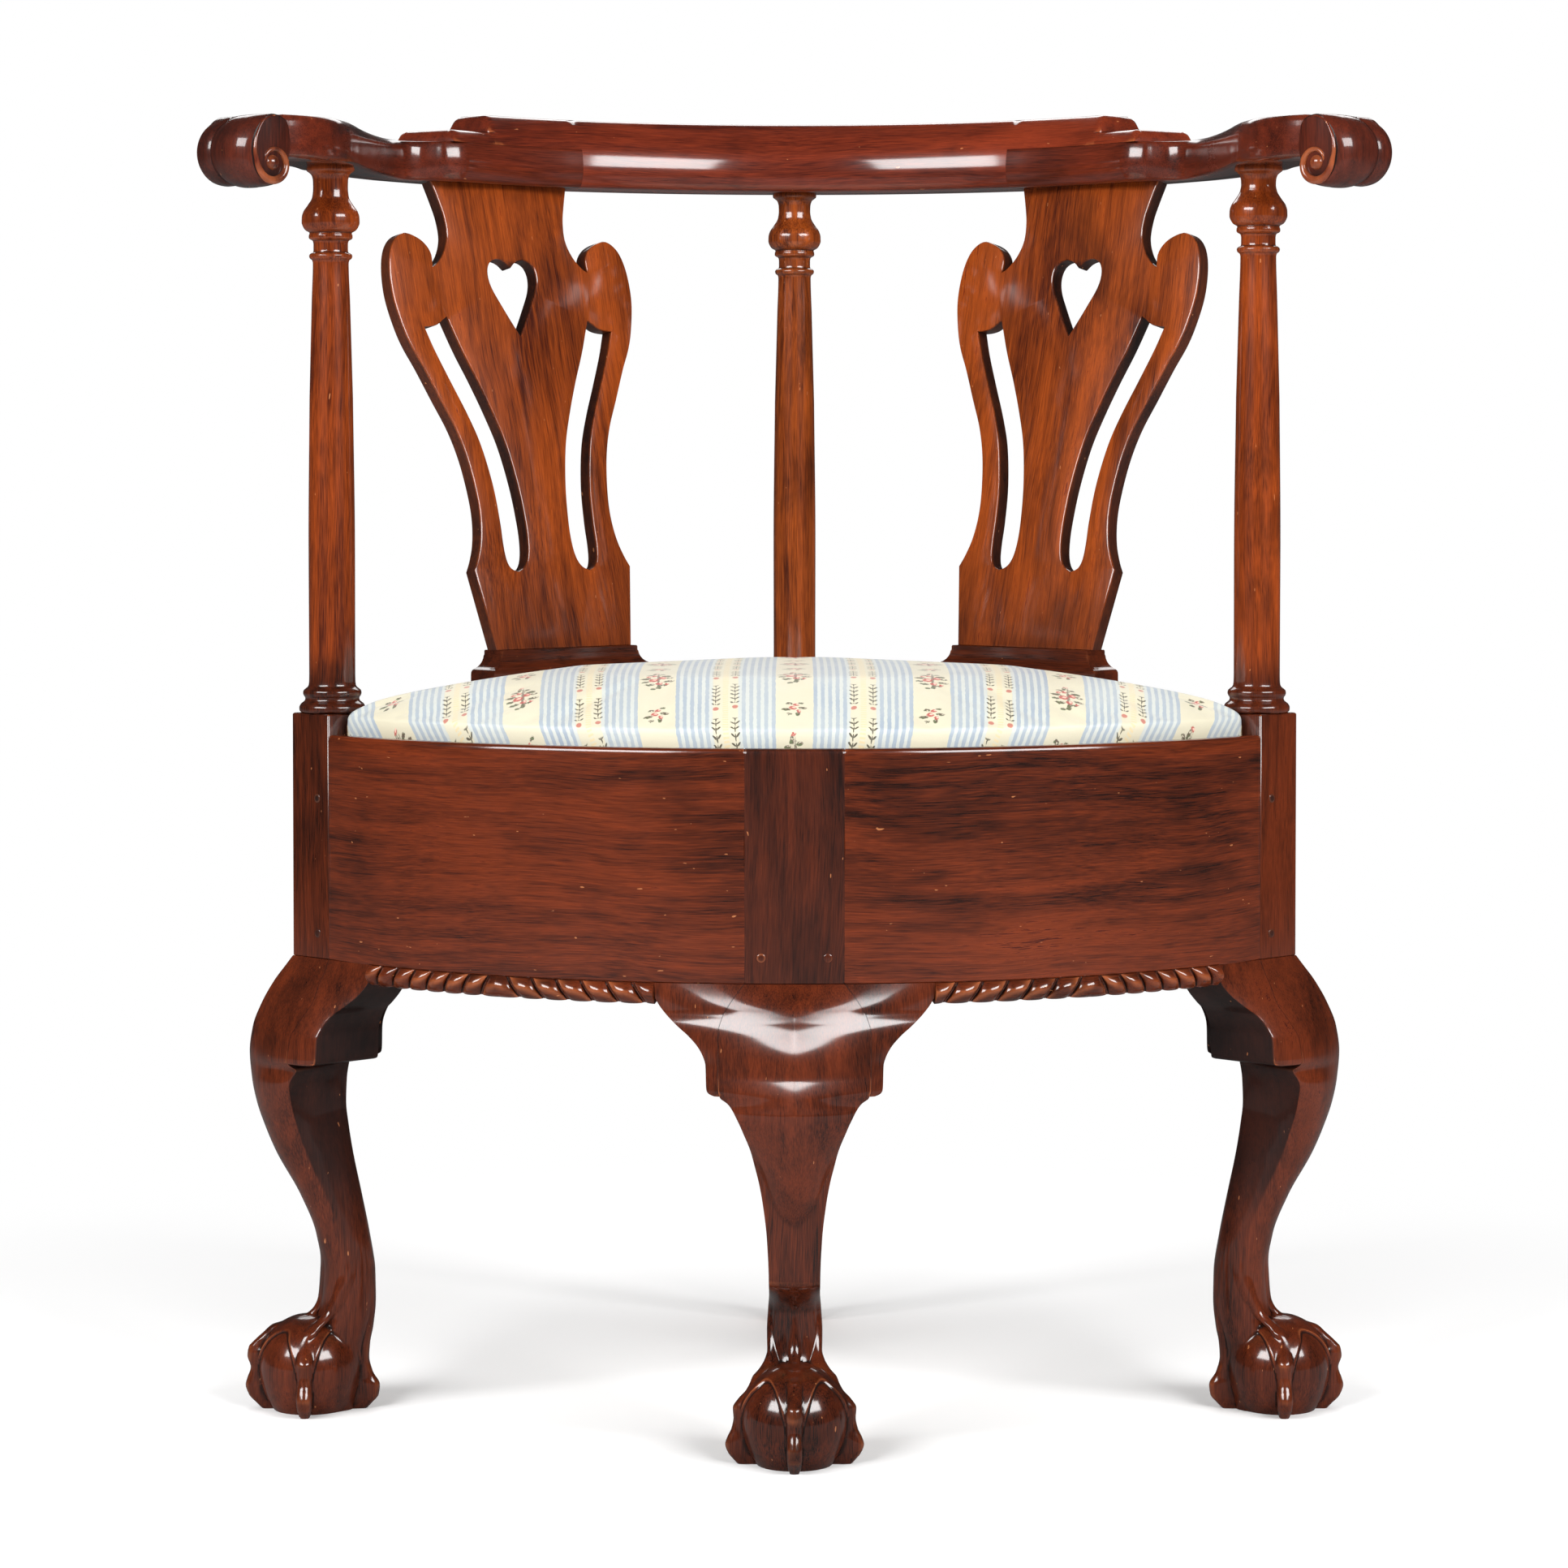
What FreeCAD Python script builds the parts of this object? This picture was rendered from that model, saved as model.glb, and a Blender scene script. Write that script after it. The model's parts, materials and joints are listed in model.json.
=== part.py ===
import FreeCAD, Part
import math
import os

os.makedirs("parts", exist_ok=True)

V = FreeCAD.Vector
DIAGONAL = math.sqrt(0.5)

# Corner chair, in millimetres. The middle of the seat is at X = 0, Y = 0 while it is built: the two
# side posts stand on the X axis, the rear post behind them on +Y, and the front leg towards -Y.
# The finished chair is moved so that its box is centred over the origin, with the floor at Z = 0.

# Posts and their square blocks
POST_RADIUS = 278.0
POST_SPACING = POST_RADIUS / DIAGONAL
BLOCK_SIZE = 34.4
BLOCK_HALF = BLOCK_SIZE / 2
BLOCK_CORNER = BLOCK_HALF / DIAGONAL

# Seat rails
RAIL_BOTTOM = 274.5
RAIL_DEPTH = 134.3
RAIL_TOP = RAIL_BOTTOM + RAIL_DEPTH
FRONT_FACE_Y = -150.0
BOW_DEPTH = -BLOCK_CORNER - FRONT_FACE_Y
BOW_RADIUS = (POST_RADIUS ** 2 + BOW_DEPTH ** 2) / (2 * BOW_DEPTH)
BOW_CENTRE_Y = FRONT_FACE_Y + BOW_RADIUS
FRONT_RAIL_THICKNESS = 26.0
LIP_WIDTH = 9.0
RABBET_DEPTH = 14.0
RABBET_Z = RAIL_TOP - RABBET_DEPTH
REAR_LIP_INNER = 5.0
REAR_RAIL_INNER = REAR_LIP_INNER + 9.0
BLOCK_RISE = 12.2
BLOCK_TOP = RAIL_TOP + BLOCK_RISE

# Front leg stile between the two bowed rails
STILE_HALF = 28.5
STILE_DEPTH = 38.0
STILE_BACK_Y = FRONT_FACE_Y + STILE_DEPTH

# Tenons, pegs and glue blocks
TENON_LENGTH = 20.0
TENON_THICKNESS = 10.0
TENON_SETBACK = 4.6
TENON_OUTER = TENON_SETBACK - BLOCK_HALF
TENON_INNER = TENON_OUTER + TENON_THICKNESS
TENON_BOTTOM = RAIL_BOTTOM + 6.5
TENON_TOP = RABBET_Z - 3.8
REAR_POST_TENON = 12.0
PEG_RADIUS = 2.6
PEG_LENGTH = 24.0
PEG_INSET = 6.5
PEG_LOW_Z = RAIL_BOTTOM + 15.0
PEG_HIGH_Z = RABBET_Z - 24.3
GLUE_BLOCK_TOP = RABBET_Z - 8.8
GLUE_BLOCK_HEIGHT = 70.0
GLUE_BLOCK_BOTTOM = GLUE_BLOCK_TOP - GLUE_BLOCK_HEIGHT
GLUE_BLOCK_REACH = 62.0

# Arms and crest
POST_HEIGHT = 327.5
ARM_UNDER = BLOCK_TOP + POST_HEIGHT
ARM_THICKNESS = 24.5
ARM_TOP = ARM_UNDER + ARM_THICKNESS
CREST_WING = 8.0
CREST_STEP = ARM_TOP + CREST_WING
CREST_UPPER = 12.0
CREST_TOP = CREST_STEP + CREST_UPPER
ARM_INSET = 23.0
ARM_INNER = POST_RADIUS - ARM_INSET
ARM_WIDTH = 45.0
ARM_OUTER = ARM_INNER + ARM_WIDTH
BUTT_ANGLE = 33.0
CREST_UPPER_END = 48.7
DOWEL_RADIUS = 4.0
DOWEL_ANGLES = (39.0, 53.0)
DOWEL_DEPTH = 16.0
DOWEL_RISE = 5.0
POST_TENON_RADIUS = 9.5
POST_TENON_LENGTH = 16.5

# Splats and shoes
SHOE_HEIGHT = 45.2
SPLAT_BASE_Z = RAIL_TOP + SHOE_HEIGHT
SPLAT_BASE_OUT = 5.3
SPLAT_LEAN_OUT = 62.3
SPLAT_THICKNESS = 10.0
SPLAT_TENON = 9.0
SPLAT_SHIFT = 3.0
SHOE_LEDGE = 4.0
SHOE_COVE = 11.0
SHOE_FRONT = REAR_LIP_INNER - 0.5

# Knee brackets and the gadrooned moulding under the front rails
BRACKET_BACK = 24.0
BRACKET_FRONT_END = 80.0
BRACKET_SIDE_END = 62.0
GADROON_HEIGHT = 11.5
GADROON_PROUD = 2.0
GADROON_DEPTH = 11.0

# Drop-in seat
SEAT_GAP = 1.0
SEAT_LIFT_GAP = 0.3
NOTCH_GAP = 3.2
COVER = 1.2
SEAT_FRAME_HEIGHT = 18.0
SEAT_RAIL_WIDTH = 52.0
HEM_WIDTH = 20.0
WEB_THICKNESS = 1.6
WEB_WIDTH = 50.0
WEB_PITCH = 78.0
CANVAS_THICKNESS = 1.0
CROWN_HEIGHT = 37.0
CROWN_TOP = RAIL_TOP + CROWN_HEIGHT
CROWN_MIDDLE_Y = 45.0
SEAT_FRAME_BOTTOM = RABBET_Z + SEAT_LIFT_GAP + COVER
SEAT_FRAME_TOP = SEAT_FRAME_BOTTOM + SEAT_FRAME_HEIGHT


def closed_wire(points):
    """A closed polygon through the points."""
    return Part.makePolygon(list(points) + [points[0]])


def prism(outline, bottom, top):
    """The upright prism over a plan outline."""
    face = Part.Face(closed_wire([V(x, y, bottom) for x, y in outline]))
    return face.extrude(V(0, 0, top - bottom))


def box(x0, x1, y0, y1, z0, z1):
    """A box between two corners."""
    return Part.makeBox(x1 - x0, y1 - y0, z1 - z0, V(x0, y0, z0))


def mirrored(shape):
    """The same piece on the other side of the chair."""
    return shape.mirror(V(0, 0, 0), V(1, 0, 0))


def turned(profile):
    """The solid of a profile of (radius, height) pairs, turned about the upright axis."""
    points = [V(0, 0, profile[0][1])] + [V(r, 0, z) for r, z in profile] + [V(0, 0, profile[-1][1])]
    return Part.Face(closed_wire(points)).revolve(V(0, 0, 0), V(0, 0, 1), 360)


def block_frame(p, q, z):
    """A point beside the left block: p runs towards the front leg and q towards the rear leg."""
    return V(-POST_RADIUS + (p + q) * DIAGONAL, (q - p) * DIAGONAL, z)


def block_box(p0, p1, q0, q1, z0, z1):
    """A box laid out in the left block's own directions."""
    corners = [block_frame(p, q, z0) for p, q in ((p0, q0), (p1, q0), (p1, q1), (p0, q1))]
    return Part.Face(closed_wire(corners)).extrude(V(0, 0, z1 - z0))


def rod(start, direction, radius, length):
    """A round rod from a point along a direction."""
    return Part.makeCylinder(radius, length, start, direction)


def smooth_line(points, steps=4):
    """Points along a smooth curve through the given points, which it keeps."""
    result = []
    for i in range(len(points) - 1):
        p0 = points[max(i - 1, 0)]
        p1 = points[i]
        p2 = points[i + 1]
        p3 = points[min(i + 2, len(points) - 1)]
        for k in range(steps):
            t = k / steps
            a = -0.5 * t ** 3 + t ** 2 - 0.5 * t
            b = 1.5 * t ** 3 - 2.5 * t ** 2 + 1
            c = -1.5 * t ** 3 + 2 * t ** 2 + 0.5 * t
            d = 0.5 * t ** 3 - 0.5 * t ** 2
            result.append(tuple(a * p0[j] + b * p1[j] + c * p2[j] + d * p3[j] for j in range(2)))
    result.append(points[-1])
    return result


def value_at(table, z):
    """The value of a table of rising (z, value) pairs at a height, on straight lines between."""
    if z <= table[0][0]:
        return table[0][1]
    for (z0, v0), (z1, v1) in zip(table, table[1:]):
        if z <= z1:
            return v0 + (v1 - v0) * (z - z0) / (z1 - z0)
    return table[-1][1]


# Cabriole leg: how far its outer and inner sides stand from the block's axis along the way it points,
# its half width across, and how square its section is, each by height on a leg of LEG_TABLE_TOP.
LEG_TABLE_TOP = 274.5
LEG_OUTER = ((38.0, 14.0), (52.0, 12.5), (62.0, 9.5), (72.0, 8.2), (84.0, 7.8), (106.0, 10.8),
             (130.0, 20.2), (156.0, 34.7), (172.0, 41.5), (186.0, 46.3), (200.0, 49.2), (217.0, 50.6),
             (232.0, 48.6), (246.0, 43.2), (260.0, 35.2), (268.0, 29.2), (LEG_TABLE_TOP, BLOCK_CORNER))
LEG_INNER = ((38.0, -18.0), (52.0, -22.0), (62.0, -24.2), (72.0, -24.8), (84.0, -25.0), (106.0, -21.5),
             (130.0, -16.8), (156.0, -11.5), (172.0, -9.0), (186.0, -7.5), (200.0, -8.0), (217.0, -11.0),
             (232.0, -15.0), (246.0, -19.0), (260.0, -22.5), (LEG_TABLE_TOP, -BLOCK_CORNER))
LEG_WIDTH = ((38.0, 17.0), (52.0, 16.4), (70.0, 15.2), (84.0, 14.6), (106.0, 14.7), (130.0, 15.8),
             (150.0, 18.0), (161.0, 20.0), (172.0, 22.4), (181.0, 25.0), (190.0, 28.6), (200.0, 32.4),
             (217.0, 33.8), (246.0, 31.0), (260.0, 28.5), (LEG_TABLE_TOP, BLOCK_CORNER))
LEG_SQUARE = ((38.0, 2.0), (106.0, 2.0), (150.0, 1.7), (186.0, 1.45), (217.0, 1.35), (246.0, 1.2),
              (LEG_TABLE_TOP, 1.0))
LEG_HEIGHTS = (38.0, 52.0, 62.0, 72.0, 84.0, 95.0, 106.0, 118.0, 130.0, 143.0, 156.0, 165.0, 175.0, 184.0,
               192.0, 200.0, 208.0, 217.0, 232.0, 246.0, 260.0, 268.0, LEG_TABLE_TOP)
LEG_TURN = 205.0
BALL_RADIUS = 31.0
BALL_Z = 25.0
BALL_OUT = 15.0
FRONT_FOOT_SHIFT = 9.0
TALON = ((64.0, 8.0, 7.0), (57.0, 11.5, 6.0), (51.0, 17.3, 6.2), (44.0, 22.8, 5.4), (37.0, 30.0, 6.0),
         (28.0, 31.2, 5.4), (20.0, 31.6, 5.2), (12.0, 34.0, 5.8), (2.5, 31.0, 4.4))


def leg_section(z, outer, inner, half_width, power):
    """One section of a leg that points towards -Y, as a closed wire."""
    centre = (outer + inner) / 2
    depth = (outer - inner) / 2
    points = []
    for i in range(16):
        turn = 2 * math.pi * i / 16
        c = math.cos(turn)
        s = math.sin(turn)
        x = half_width * math.copysign(abs(c) ** (2 / power), c)
        y = -centre - depth * math.copysign(abs(s) ** (2 / power), s)
        points.append(V(x, y, z))
    return closed_wire(points)


def tube(path, radii, up):
    """A tapering six-sided rod along a path of points."""
    wires = []
    for i, point in enumerate(path):
        ahead = path[min(i + 1, len(path) - 1)] - path[max(i - 1, 0)]
        ahead.normalize()
        side = ahead.cross(up)
        side.normalize()
        other = ahead.cross(side)
        wires.append(closed_wire([point + side * (radii[i] * math.cos(k * math.pi / 3))
                                  + other * (radii[i] * math.sin(k * math.pi / 3)) for k in range(6)]))
    return Part.makeLoft(wires, True, True)


def claw_and_ball(ball_out):
    """The foot: a flattened ball gripped by four talons."""
    centre = V(0, -ball_out, BALL_Z)
    ball = Part.makeSphere(BALL_RADIUS, centre)
    foot = ball.common(box(-60, 60, -ball_out - 60, -ball_out + 60, 0, 80))
    ankle = (LEG_OUTER[2][1] + LEG_INNER[2][1]) / 2
    for step in range(4):
        turn = math.pi / 2 * step
        way = V(math.sin(turn), -math.cos(turn), 0)
        path = []
        for z, reach, _ in TALON:
            blend = max(0.0, (z - 40.0) / 24.0)
            middle = -ball_out * (1 - blend) - ankle * blend
            path.append(V(way.x * reach, middle + way.y * reach, z))
        foot = foot.fuse(tube(path, [radius for _, _, radius in TALON], V(way.y, -way.x, 0)))
    return foot.common(box(-80, 80, -ball_out - 80, -ball_out + 80, 0, 90))


def cabriole(top_power, top_half, foot_shift):
    """The curved part of a leg, from the floor to the rails, pointing towards -Y from its axis."""
    wires = []
    stretch = RAIL_BOTTOM / LEG_TABLE_TOP
    for z in LEG_HEIGHTS:
        shift = foot_shift * (LEG_TABLE_TOP - z) / LEG_TABLE_TOP
        rise = max(0.0, (z - LEG_TURN) / (LEG_TABLE_TOP - LEG_TURN))
        power = value_at(LEG_SQUARE, z) * (1 - rise) + top_power * rise
        width = value_at(LEG_WIDTH, z) * (1 - rise) + top_half * rise
        outer = value_at(LEG_OUTER, z) + shift
        inner = value_at(LEG_INNER, z) + shift
        wires.append(leg_section(z * stretch, outer, inner, width, power))
    leg = Part.makeLoft(wires, True, True)
    ball_out = BALL_OUT + foot_shift * (LEG_TABLE_TOP - BALL_Z) / LEG_TABLE_TOP
    return leg.fuse(claw_and_ball(ball_out))


# Turned post: radii with heights above the block for its foot, and with depths below the arm for its head
POST_FOOT = ((17.1, 0.0), (19.0, 0.6), (19.8, 2.5), (19.0, 5.5), (16.4, 7.5), (16.2, 9.5), (17.4, 11.5),
             (17.2, 14.0), (14.2, 16.5), (13.8, 21.0), (13.9, 99.0), (13.0, 189.0))
POST_HEAD = ((11.4, 78.5), (10.6, 54.5), (12.4, 53.0), (12.4, 50.5), (10.4, 49.0), (10.2, 43.5), (12.6, 41.5),
             (12.6, 39.0), (15.6, 36.0), (17.3, 31.5), (17.0, 27.0), (13.8, 21.5), (11.0, 16.5), (10.4, 11.5),
             (11.2, 5.5), (14.2, 2.5), (14.2, 0.0))
BALL_DROP = 2.0


def post(drop):
    """A turned post on its block, its head's rings and ball lowered by the drop, with its round tenon."""
    profile = [(radius, BLOCK_TOP + height) for radius, height in POST_FOOT]
    for radius, depth in POST_HEAD:
        lower = drop if 15.0 < depth < 60.0 else 0.0
        profile.append((radius, ARM_UNDER - depth - lower))
    profile.append((POST_TENON_RADIUS, ARM_UNDER))
    profile.append((POST_TENON_RADIUS, ARM_UNDER + POST_TENON_LENGTH))
    return turned(profile)


def side_leg(drop):
    """The left leg in one piece: claw foot, cabriole, square block, turned post and its round tenon."""
    curve = cabriole(1.0, BLOCK_CORNER, 0.0)
    curve.rotate(V(0, 0, 0), V(0, 0, 1), -90)
    curve.translate(V(-POST_RADIUS, 0, 0))
    block = block_box(-BLOCK_HALF, BLOCK_HALF, -BLOCK_HALF, BLOCK_HALF, RAIL_BOTTOM, BLOCK_TOP)
    column = post(drop)
    column.translate(V(-POST_RADIUS, 0, 0))
    return curve.fuse([block, column])


def front_leg():
    """The front leg: claw foot, cabriole and the broad stile between the two front rails."""
    curve = cabriole(7.0, STILE_HALF, FRONT_FOOT_SHIFT)
    curve.translate(V(0, FRONT_FACE_Y + BLOCK_CORNER, 0))
    face_disc = Part.makeCylinder(BOW_RADIUS, RAIL_TOP - RAIL_BOTTOM, V(0, BOW_CENTRE_Y, RAIL_BOTTOM))
    stile = box(-STILE_HALF, STILE_HALF, FRONT_FACE_Y - 5, STILE_BACK_Y, RAIL_BOTTOM, RAIL_TOP).common(face_disc)
    lip = Part.makeCylinder(BOW_RADIUS - LIP_WIDTH, RABBET_DEPTH + 5, V(0, BOW_CENTRE_Y, RABBET_Z))
    return curve.fuse(stile.cut(lip))


def rear_leg():
    """The rear leg in one piece: plain tapering foot, square block, turned post and its round tenon."""
    foot = turned(((14.5, 0.0), (16.0, 1.5), (16.2, RAIL_BOTTOM * 0.2), (20.0, RAIL_BOTTOM * 0.55),
                   (BLOCK_HALF + 5.0, RAIL_BOTTOM - 30), (BLOCK_HALF + 6.0, RAIL_BOTTOM - 13),
                   (BLOCK_HALF, RAIL_BOTTOM), (BLOCK_HALF, RAIL_BOTTOM + 2)))
    half = BLOCK_CORNER
    block = prism(((half, 0), (0, half), (-half, 0), (0, -half)), RAIL_BOTTOM, BLOCK_TOP)
    leg = foot.fuse([block, post(0.0)])
    leg.translate(V(0, POST_RADIUS, 0))
    return leg


def front_rail():
    """The left bowed front rail, with its rabbet for the seat and a tenon at each end."""
    outer = Part.makeCylinder(BOW_RADIUS, RAIL_TOP - RAIL_BOTTOM, V(0, BOW_CENTRE_Y, RAIL_BOTTOM))
    inner = Part.makeCylinder(BOW_RADIUS - FRONT_RAIL_THICKNESS, RAIL_DEPTH + 10, V(0, BOW_CENTRE_Y, RAIL_BOTTOM - 5))
    lip = Part.makeCylinder(BOW_RADIUS - LIP_WIDTH, RABBET_DEPTH + 5, V(0, BOW_CENTRE_Y, RABBET_Z))
    zone = box(-POST_RADIUS - 20, -STILE_HALF, FRONT_FACE_Y - 20, 20, RAIL_BOTTOM, RAIL_TOP)
    beyond_block = block_box(BLOCK_HALF, 2 * POST_RADIUS, -POST_RADIUS, POST_RADIUS, RAIL_BOTTOM - 5, RAIL_TOP + 5)
    rail = outer.cut(inner).cut(lip).common(zone).common(beyond_block)
    at_block = block_box(BLOCK_HALF - TENON_LENGTH, BLOCK_HALF, TENON_OUTER, TENON_INNER, TENON_BOTTOM, TENON_TOP)
    at_stile = box(-STILE_HALF, -STILE_HALF + TENON_LENGTH, FRONT_FACE_Y + LIP_WIDTH,
                   FRONT_FACE_Y + LIP_WIDTH + TENON_THICKNESS, TENON_BOTTOM, TENON_TOP)
    return rail.fuse([at_block, at_stile])


def rear_rail():
    """The left rear rail, straight, with its rabbet and a tenon at each end."""
    far = POST_SPACING - BLOCK_HALF
    rail = block_box(-BLOCK_HALF, REAR_RAIL_INNER, BLOCK_HALF, far, RAIL_BOTTOM, RAIL_TOP)
    rabbet = block_box(REAR_LIP_INNER, REAR_RAIL_INNER + 1, BLOCK_HALF - 1, far + 1, RABBET_Z, RAIL_TOP + 1)
    near_tenon = block_box(TENON_OUTER, TENON_INNER, BLOCK_HALF - TENON_LENGTH, BLOCK_HALF, TENON_BOTTOM, TENON_TOP)
    far_tenon = block_box(TENON_OUTER, TENON_INNER, far, far + REAR_POST_TENON, TENON_BOTTOM, TENON_TOP)
    return rail.cut(rabbet).fuse([near_tenon, far_tenon])


# Knee brackets: the lower edge of each, as (distance from the leg's axis, height on a leg of
# LEG_TABLE_TOP), and how far the knee swells past the rail's face by height.
SIDE_BRACKET_EDGE = ((8.0, 196.0), (14.0, 201.0), (20.0, 203.6), (28.0, 205.2), (34.0, 206.8), (37.3, 209.0),
                     (37.8, 216.0), (39.0, 224.5), (42.5, 232.0), (48.0, 239.0), (54.0, 246.5), (58.5, 253.0),
                     (61.4, 259.5), (BRACKET_SIDE_END, 262.5))
FRONT_BRACKET_EDGE = ((24.0, 178.0), (30.5, 190.0), (34.0, 197.0), (38.5, 202.5), (43.5, 205.8), (49.6, 208.6),
                      (50.2, 216.0), (52.0, 224.5), (56.0, 232.0), (62.0, 238.8), (68.5, 245.4), (74.5, 252.0),
                      (79.0, 258.8), (BRACKET_FRONT_END, 263.0))
KNEE_BULGE = ((178.0, 21.0), (200.0, 25.0), (217.0, 27.0), (232.0, 25.0), (246.0, 19.0), (260.0, 10.5),
              (LEG_TABLE_TOP, 0.0))
KNEE_KEEP = 0.78


def bracket_solid(place, edge):
    """A bracket whose sections are put into the chair by place(reach, out, z)."""
    stretch = RAIL_BOTTOM / LEG_TABLE_TOP
    end = edge[-1][0]
    wires = []
    for reach, low in edge:
        keep = KNEE_KEEP * max(0.0, (end + 3 - reach) / (end - edge[0][0] + 12)) ** 0.8
        heights = [low + (LEG_TABLE_TOP - low) * k / 5 for k in range(6)]
        front = [place(reach, value_at(KNEE_BULGE, z) * keep + 0.2, z * stretch) for z in heights]
        wires.append(closed_wire([place(reach, -BRACKET_BACK, low * stretch)] + front
                                 + [place(reach, -BRACKET_BACK, RAIL_BOTTOM)]))
    return Part.makeLoft(wires, True, True)


def front_bracket():
    """The left bracket of the front leg, along the bowed rail."""
    def place(reach, out, z):
        turn = math.asin(reach / BOW_RADIUS)
        radius = BOW_RADIUS + out
        return V(-radius * math.sin(turn), BOW_CENTRE_Y - radius * math.cos(turn), z)
    return bracket_solid(place, FRONT_BRACKET_EDGE)


def side_front_bracket():
    """The left leg's bracket under the front rail."""
    return bracket_solid(lambda reach, out, z: block_frame(reach, -BLOCK_HALF - out, z), SIDE_BRACKET_EDGE)


def side_rear_bracket():
    """The left leg's bracket under the rear rail."""
    return bracket_solid(lambda reach, out, z: block_frame(-BLOCK_HALF - out, reach, z), SIDE_BRACKET_EDGE)


def gadroon():
    """The moulding under the left front rail, half round in front, from bracket to bracket."""
    out = BOW_RADIUS + GADROON_PROUD
    back = out - GADROON_DEPTH
    low = RAIL_BOTTOM - GADROON_HEIGHT
    section = ((back, RAIL_BOTTOM), (out - 1.2, RAIL_BOTTOM), (out, RAIL_BOTTOM - 2.5), (out, low + 5.5),
               (out - 1.8, low + 1.6), (out - 4.5, low), (back, low))
    ring = Part.Face(closed_wire([V(r, 0, z) for r, z in section])).revolve(V(0, 0, 0), V(0, 0, 1), 360)
    ring.translate(V(0, BOW_CENTRE_Y, 0))
    wedge = box(-POST_RADIUS, -BRACKET_FRONT_END, FRONT_FACE_Y - 20, 50, low - 5, RAIL_BOTTOM + 5)
    clear = block_box(BRACKET_SIDE_END, 2 * POST_RADIUS, -POST_RADIUS, POST_RADIUS, low - 5, RAIL_BOTTOM + 5)
    return ring.common(wedge).common(clear)


# Splat outline on one side of its middle line, as (distance, height up a splat of SPLAT_TABLE_TOP)
SPLAT_TABLE_TOP = 301.0
SPLAT_FOOT = ((56.8, 0.0), (66.0, 51.3))
SPLAT_WAIST = ((66.0, 51.3), (62.0, 58.5), (57.8, 69.3), (55.4, 84.0), (55.8, 100.0), (59.2, 122.0),
               (65.4, 141.6), (74.8, 160.5), (84.6, 180.4), (92.6, 195.0), (97.4, 208.0), (101.2, 225.0),
               (101.4, 240.0), (99.0, 253.0), (94.0, 262.0), (85.6, 266.8), (76.0, 264.6), (69.0, 260.0),
               (65.2, 253.5), (65.6, 245.6))
SPLAT_NECK = ((65.6, 245.6), (60.6, 248.6), (54.2, 256.0), (50.2, 266.0), (50.6, 278.0), (53.4, 289.0),
              (57.4, 301.5))
SLOT_INNER = ((30.6, 49.6), (24.6, 52.2), (20.6, 58.0), (18.6, 68.0), (18.4, 82.0), (20.4, 105.0),
              (25.4, 130.5), (32.6, 151.0), (41.6, 172.0), (51.2, 192.0), (59.8, 213.2))
SLOT_OUTER = ((79.2, 206.4), (73.6, 192.0), (64.2, 172.0), (53.6, 150.0), (46.2, 130.5), (41.0, 105.0),
              (39.4, 82.0), (39.4, 68.0), (38.6, 58.0), (36.0, 52.2), (30.6, 49.6))
HEART_HALF = ((0.0, 202.0), (4.6, 209.0), (12.2, 221.5), (18.6, 233.0), (20.4, 241.8), (18.0, 248.8),
              (11.6, 252.0), (4.6, 250.4), (0.0, 246.6))


def splat_outlines():
    """The outer outline and the three openings, in the splat's own plane."""
    side = list(SPLAT_FOOT[:1]) + smooth_line(SPLAT_WAIST) + smooth_line(SPLAT_NECK)[1:]
    outer = side + [(-u, v) for u, v in reversed(side)]
    slot = [SLOT_INNER[-1]] + smooth_line(SLOT_OUTER)[:-1] + smooth_line(SLOT_INNER)[:-1]
    heart_right = smooth_line(HEART_HALF)
    heart = heart_right + [(-u, v) for u, v in reversed(heart_right[1:-1])]
    return outer, [slot, [(-u, v) for u, v in slot], heart]


def splat():
    """The left pierced splat, leaning outward from the shoe to the arm, with its two tenons."""
    height = ARM_UNDER - SPLAT_BASE_Z
    lean = math.atan2(SPLAT_LEAN_OUT, height)
    middle = POST_SPACING / 2 - SPLAT_SHIFT
    slope = math.hypot(SPLAT_LEAN_OUT, height) / SPLAT_TABLE_TOP

    def place(u, v):
        rise = v * slope if v > 0 else v
        out = SPLAT_BASE_OUT + rise * math.sin(lean)
        return block_frame(-out, middle + u, SPLAT_BASE_Z + rise * math.cos(lean))

    outer, holes = splat_outlines()
    foot = SPLAT_FOOT[0][0] - 6
    outer = outer[:-1] + [(-SPLAT_FOOT[0][0], 0.0), (-foot, 0.0), (-foot, -SPLAT_TENON), (foot, -SPLAT_TENON),
                          (foot, 0.0)]
    along = block_frame(-math.cos(lean), 0, -math.sin(lean)) - block_frame(0, 0, 0)
    board = Part.Face(closed_wire([place(u, v) for u, v in outer])).extrude(along * SPLAT_THICKNESS)
    for hole in holes:
        cutter = Part.Face(closed_wire([place(u, v) - along for u, v in hole]))
        board = board.cut(cutter.extrude(along * (SPLAT_THICKNESS + 2)))
    under = box(-2 * POST_RADIUS, 0, 0, 2 * POST_RADIUS, SPLAT_BASE_Z - 20, ARM_UNDER)
    half = SPLAT_NECK[-1][0] - 7
    low = SPLAT_TABLE_TOP - 12
    high = SPLAT_TABLE_TOP + SPLAT_TENON
    corners = [place(u, v) for u, v in ((-half, low), (half, low), (half, high), (-half, high))]
    shifted = [corner + along * 1.5 for corner in corners]
    tongue = Part.Face(closed_wire(shifted)).extrude(along * (SPLAT_THICKNESS - 3))
    return board.common(under).fuse(tongue)


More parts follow.
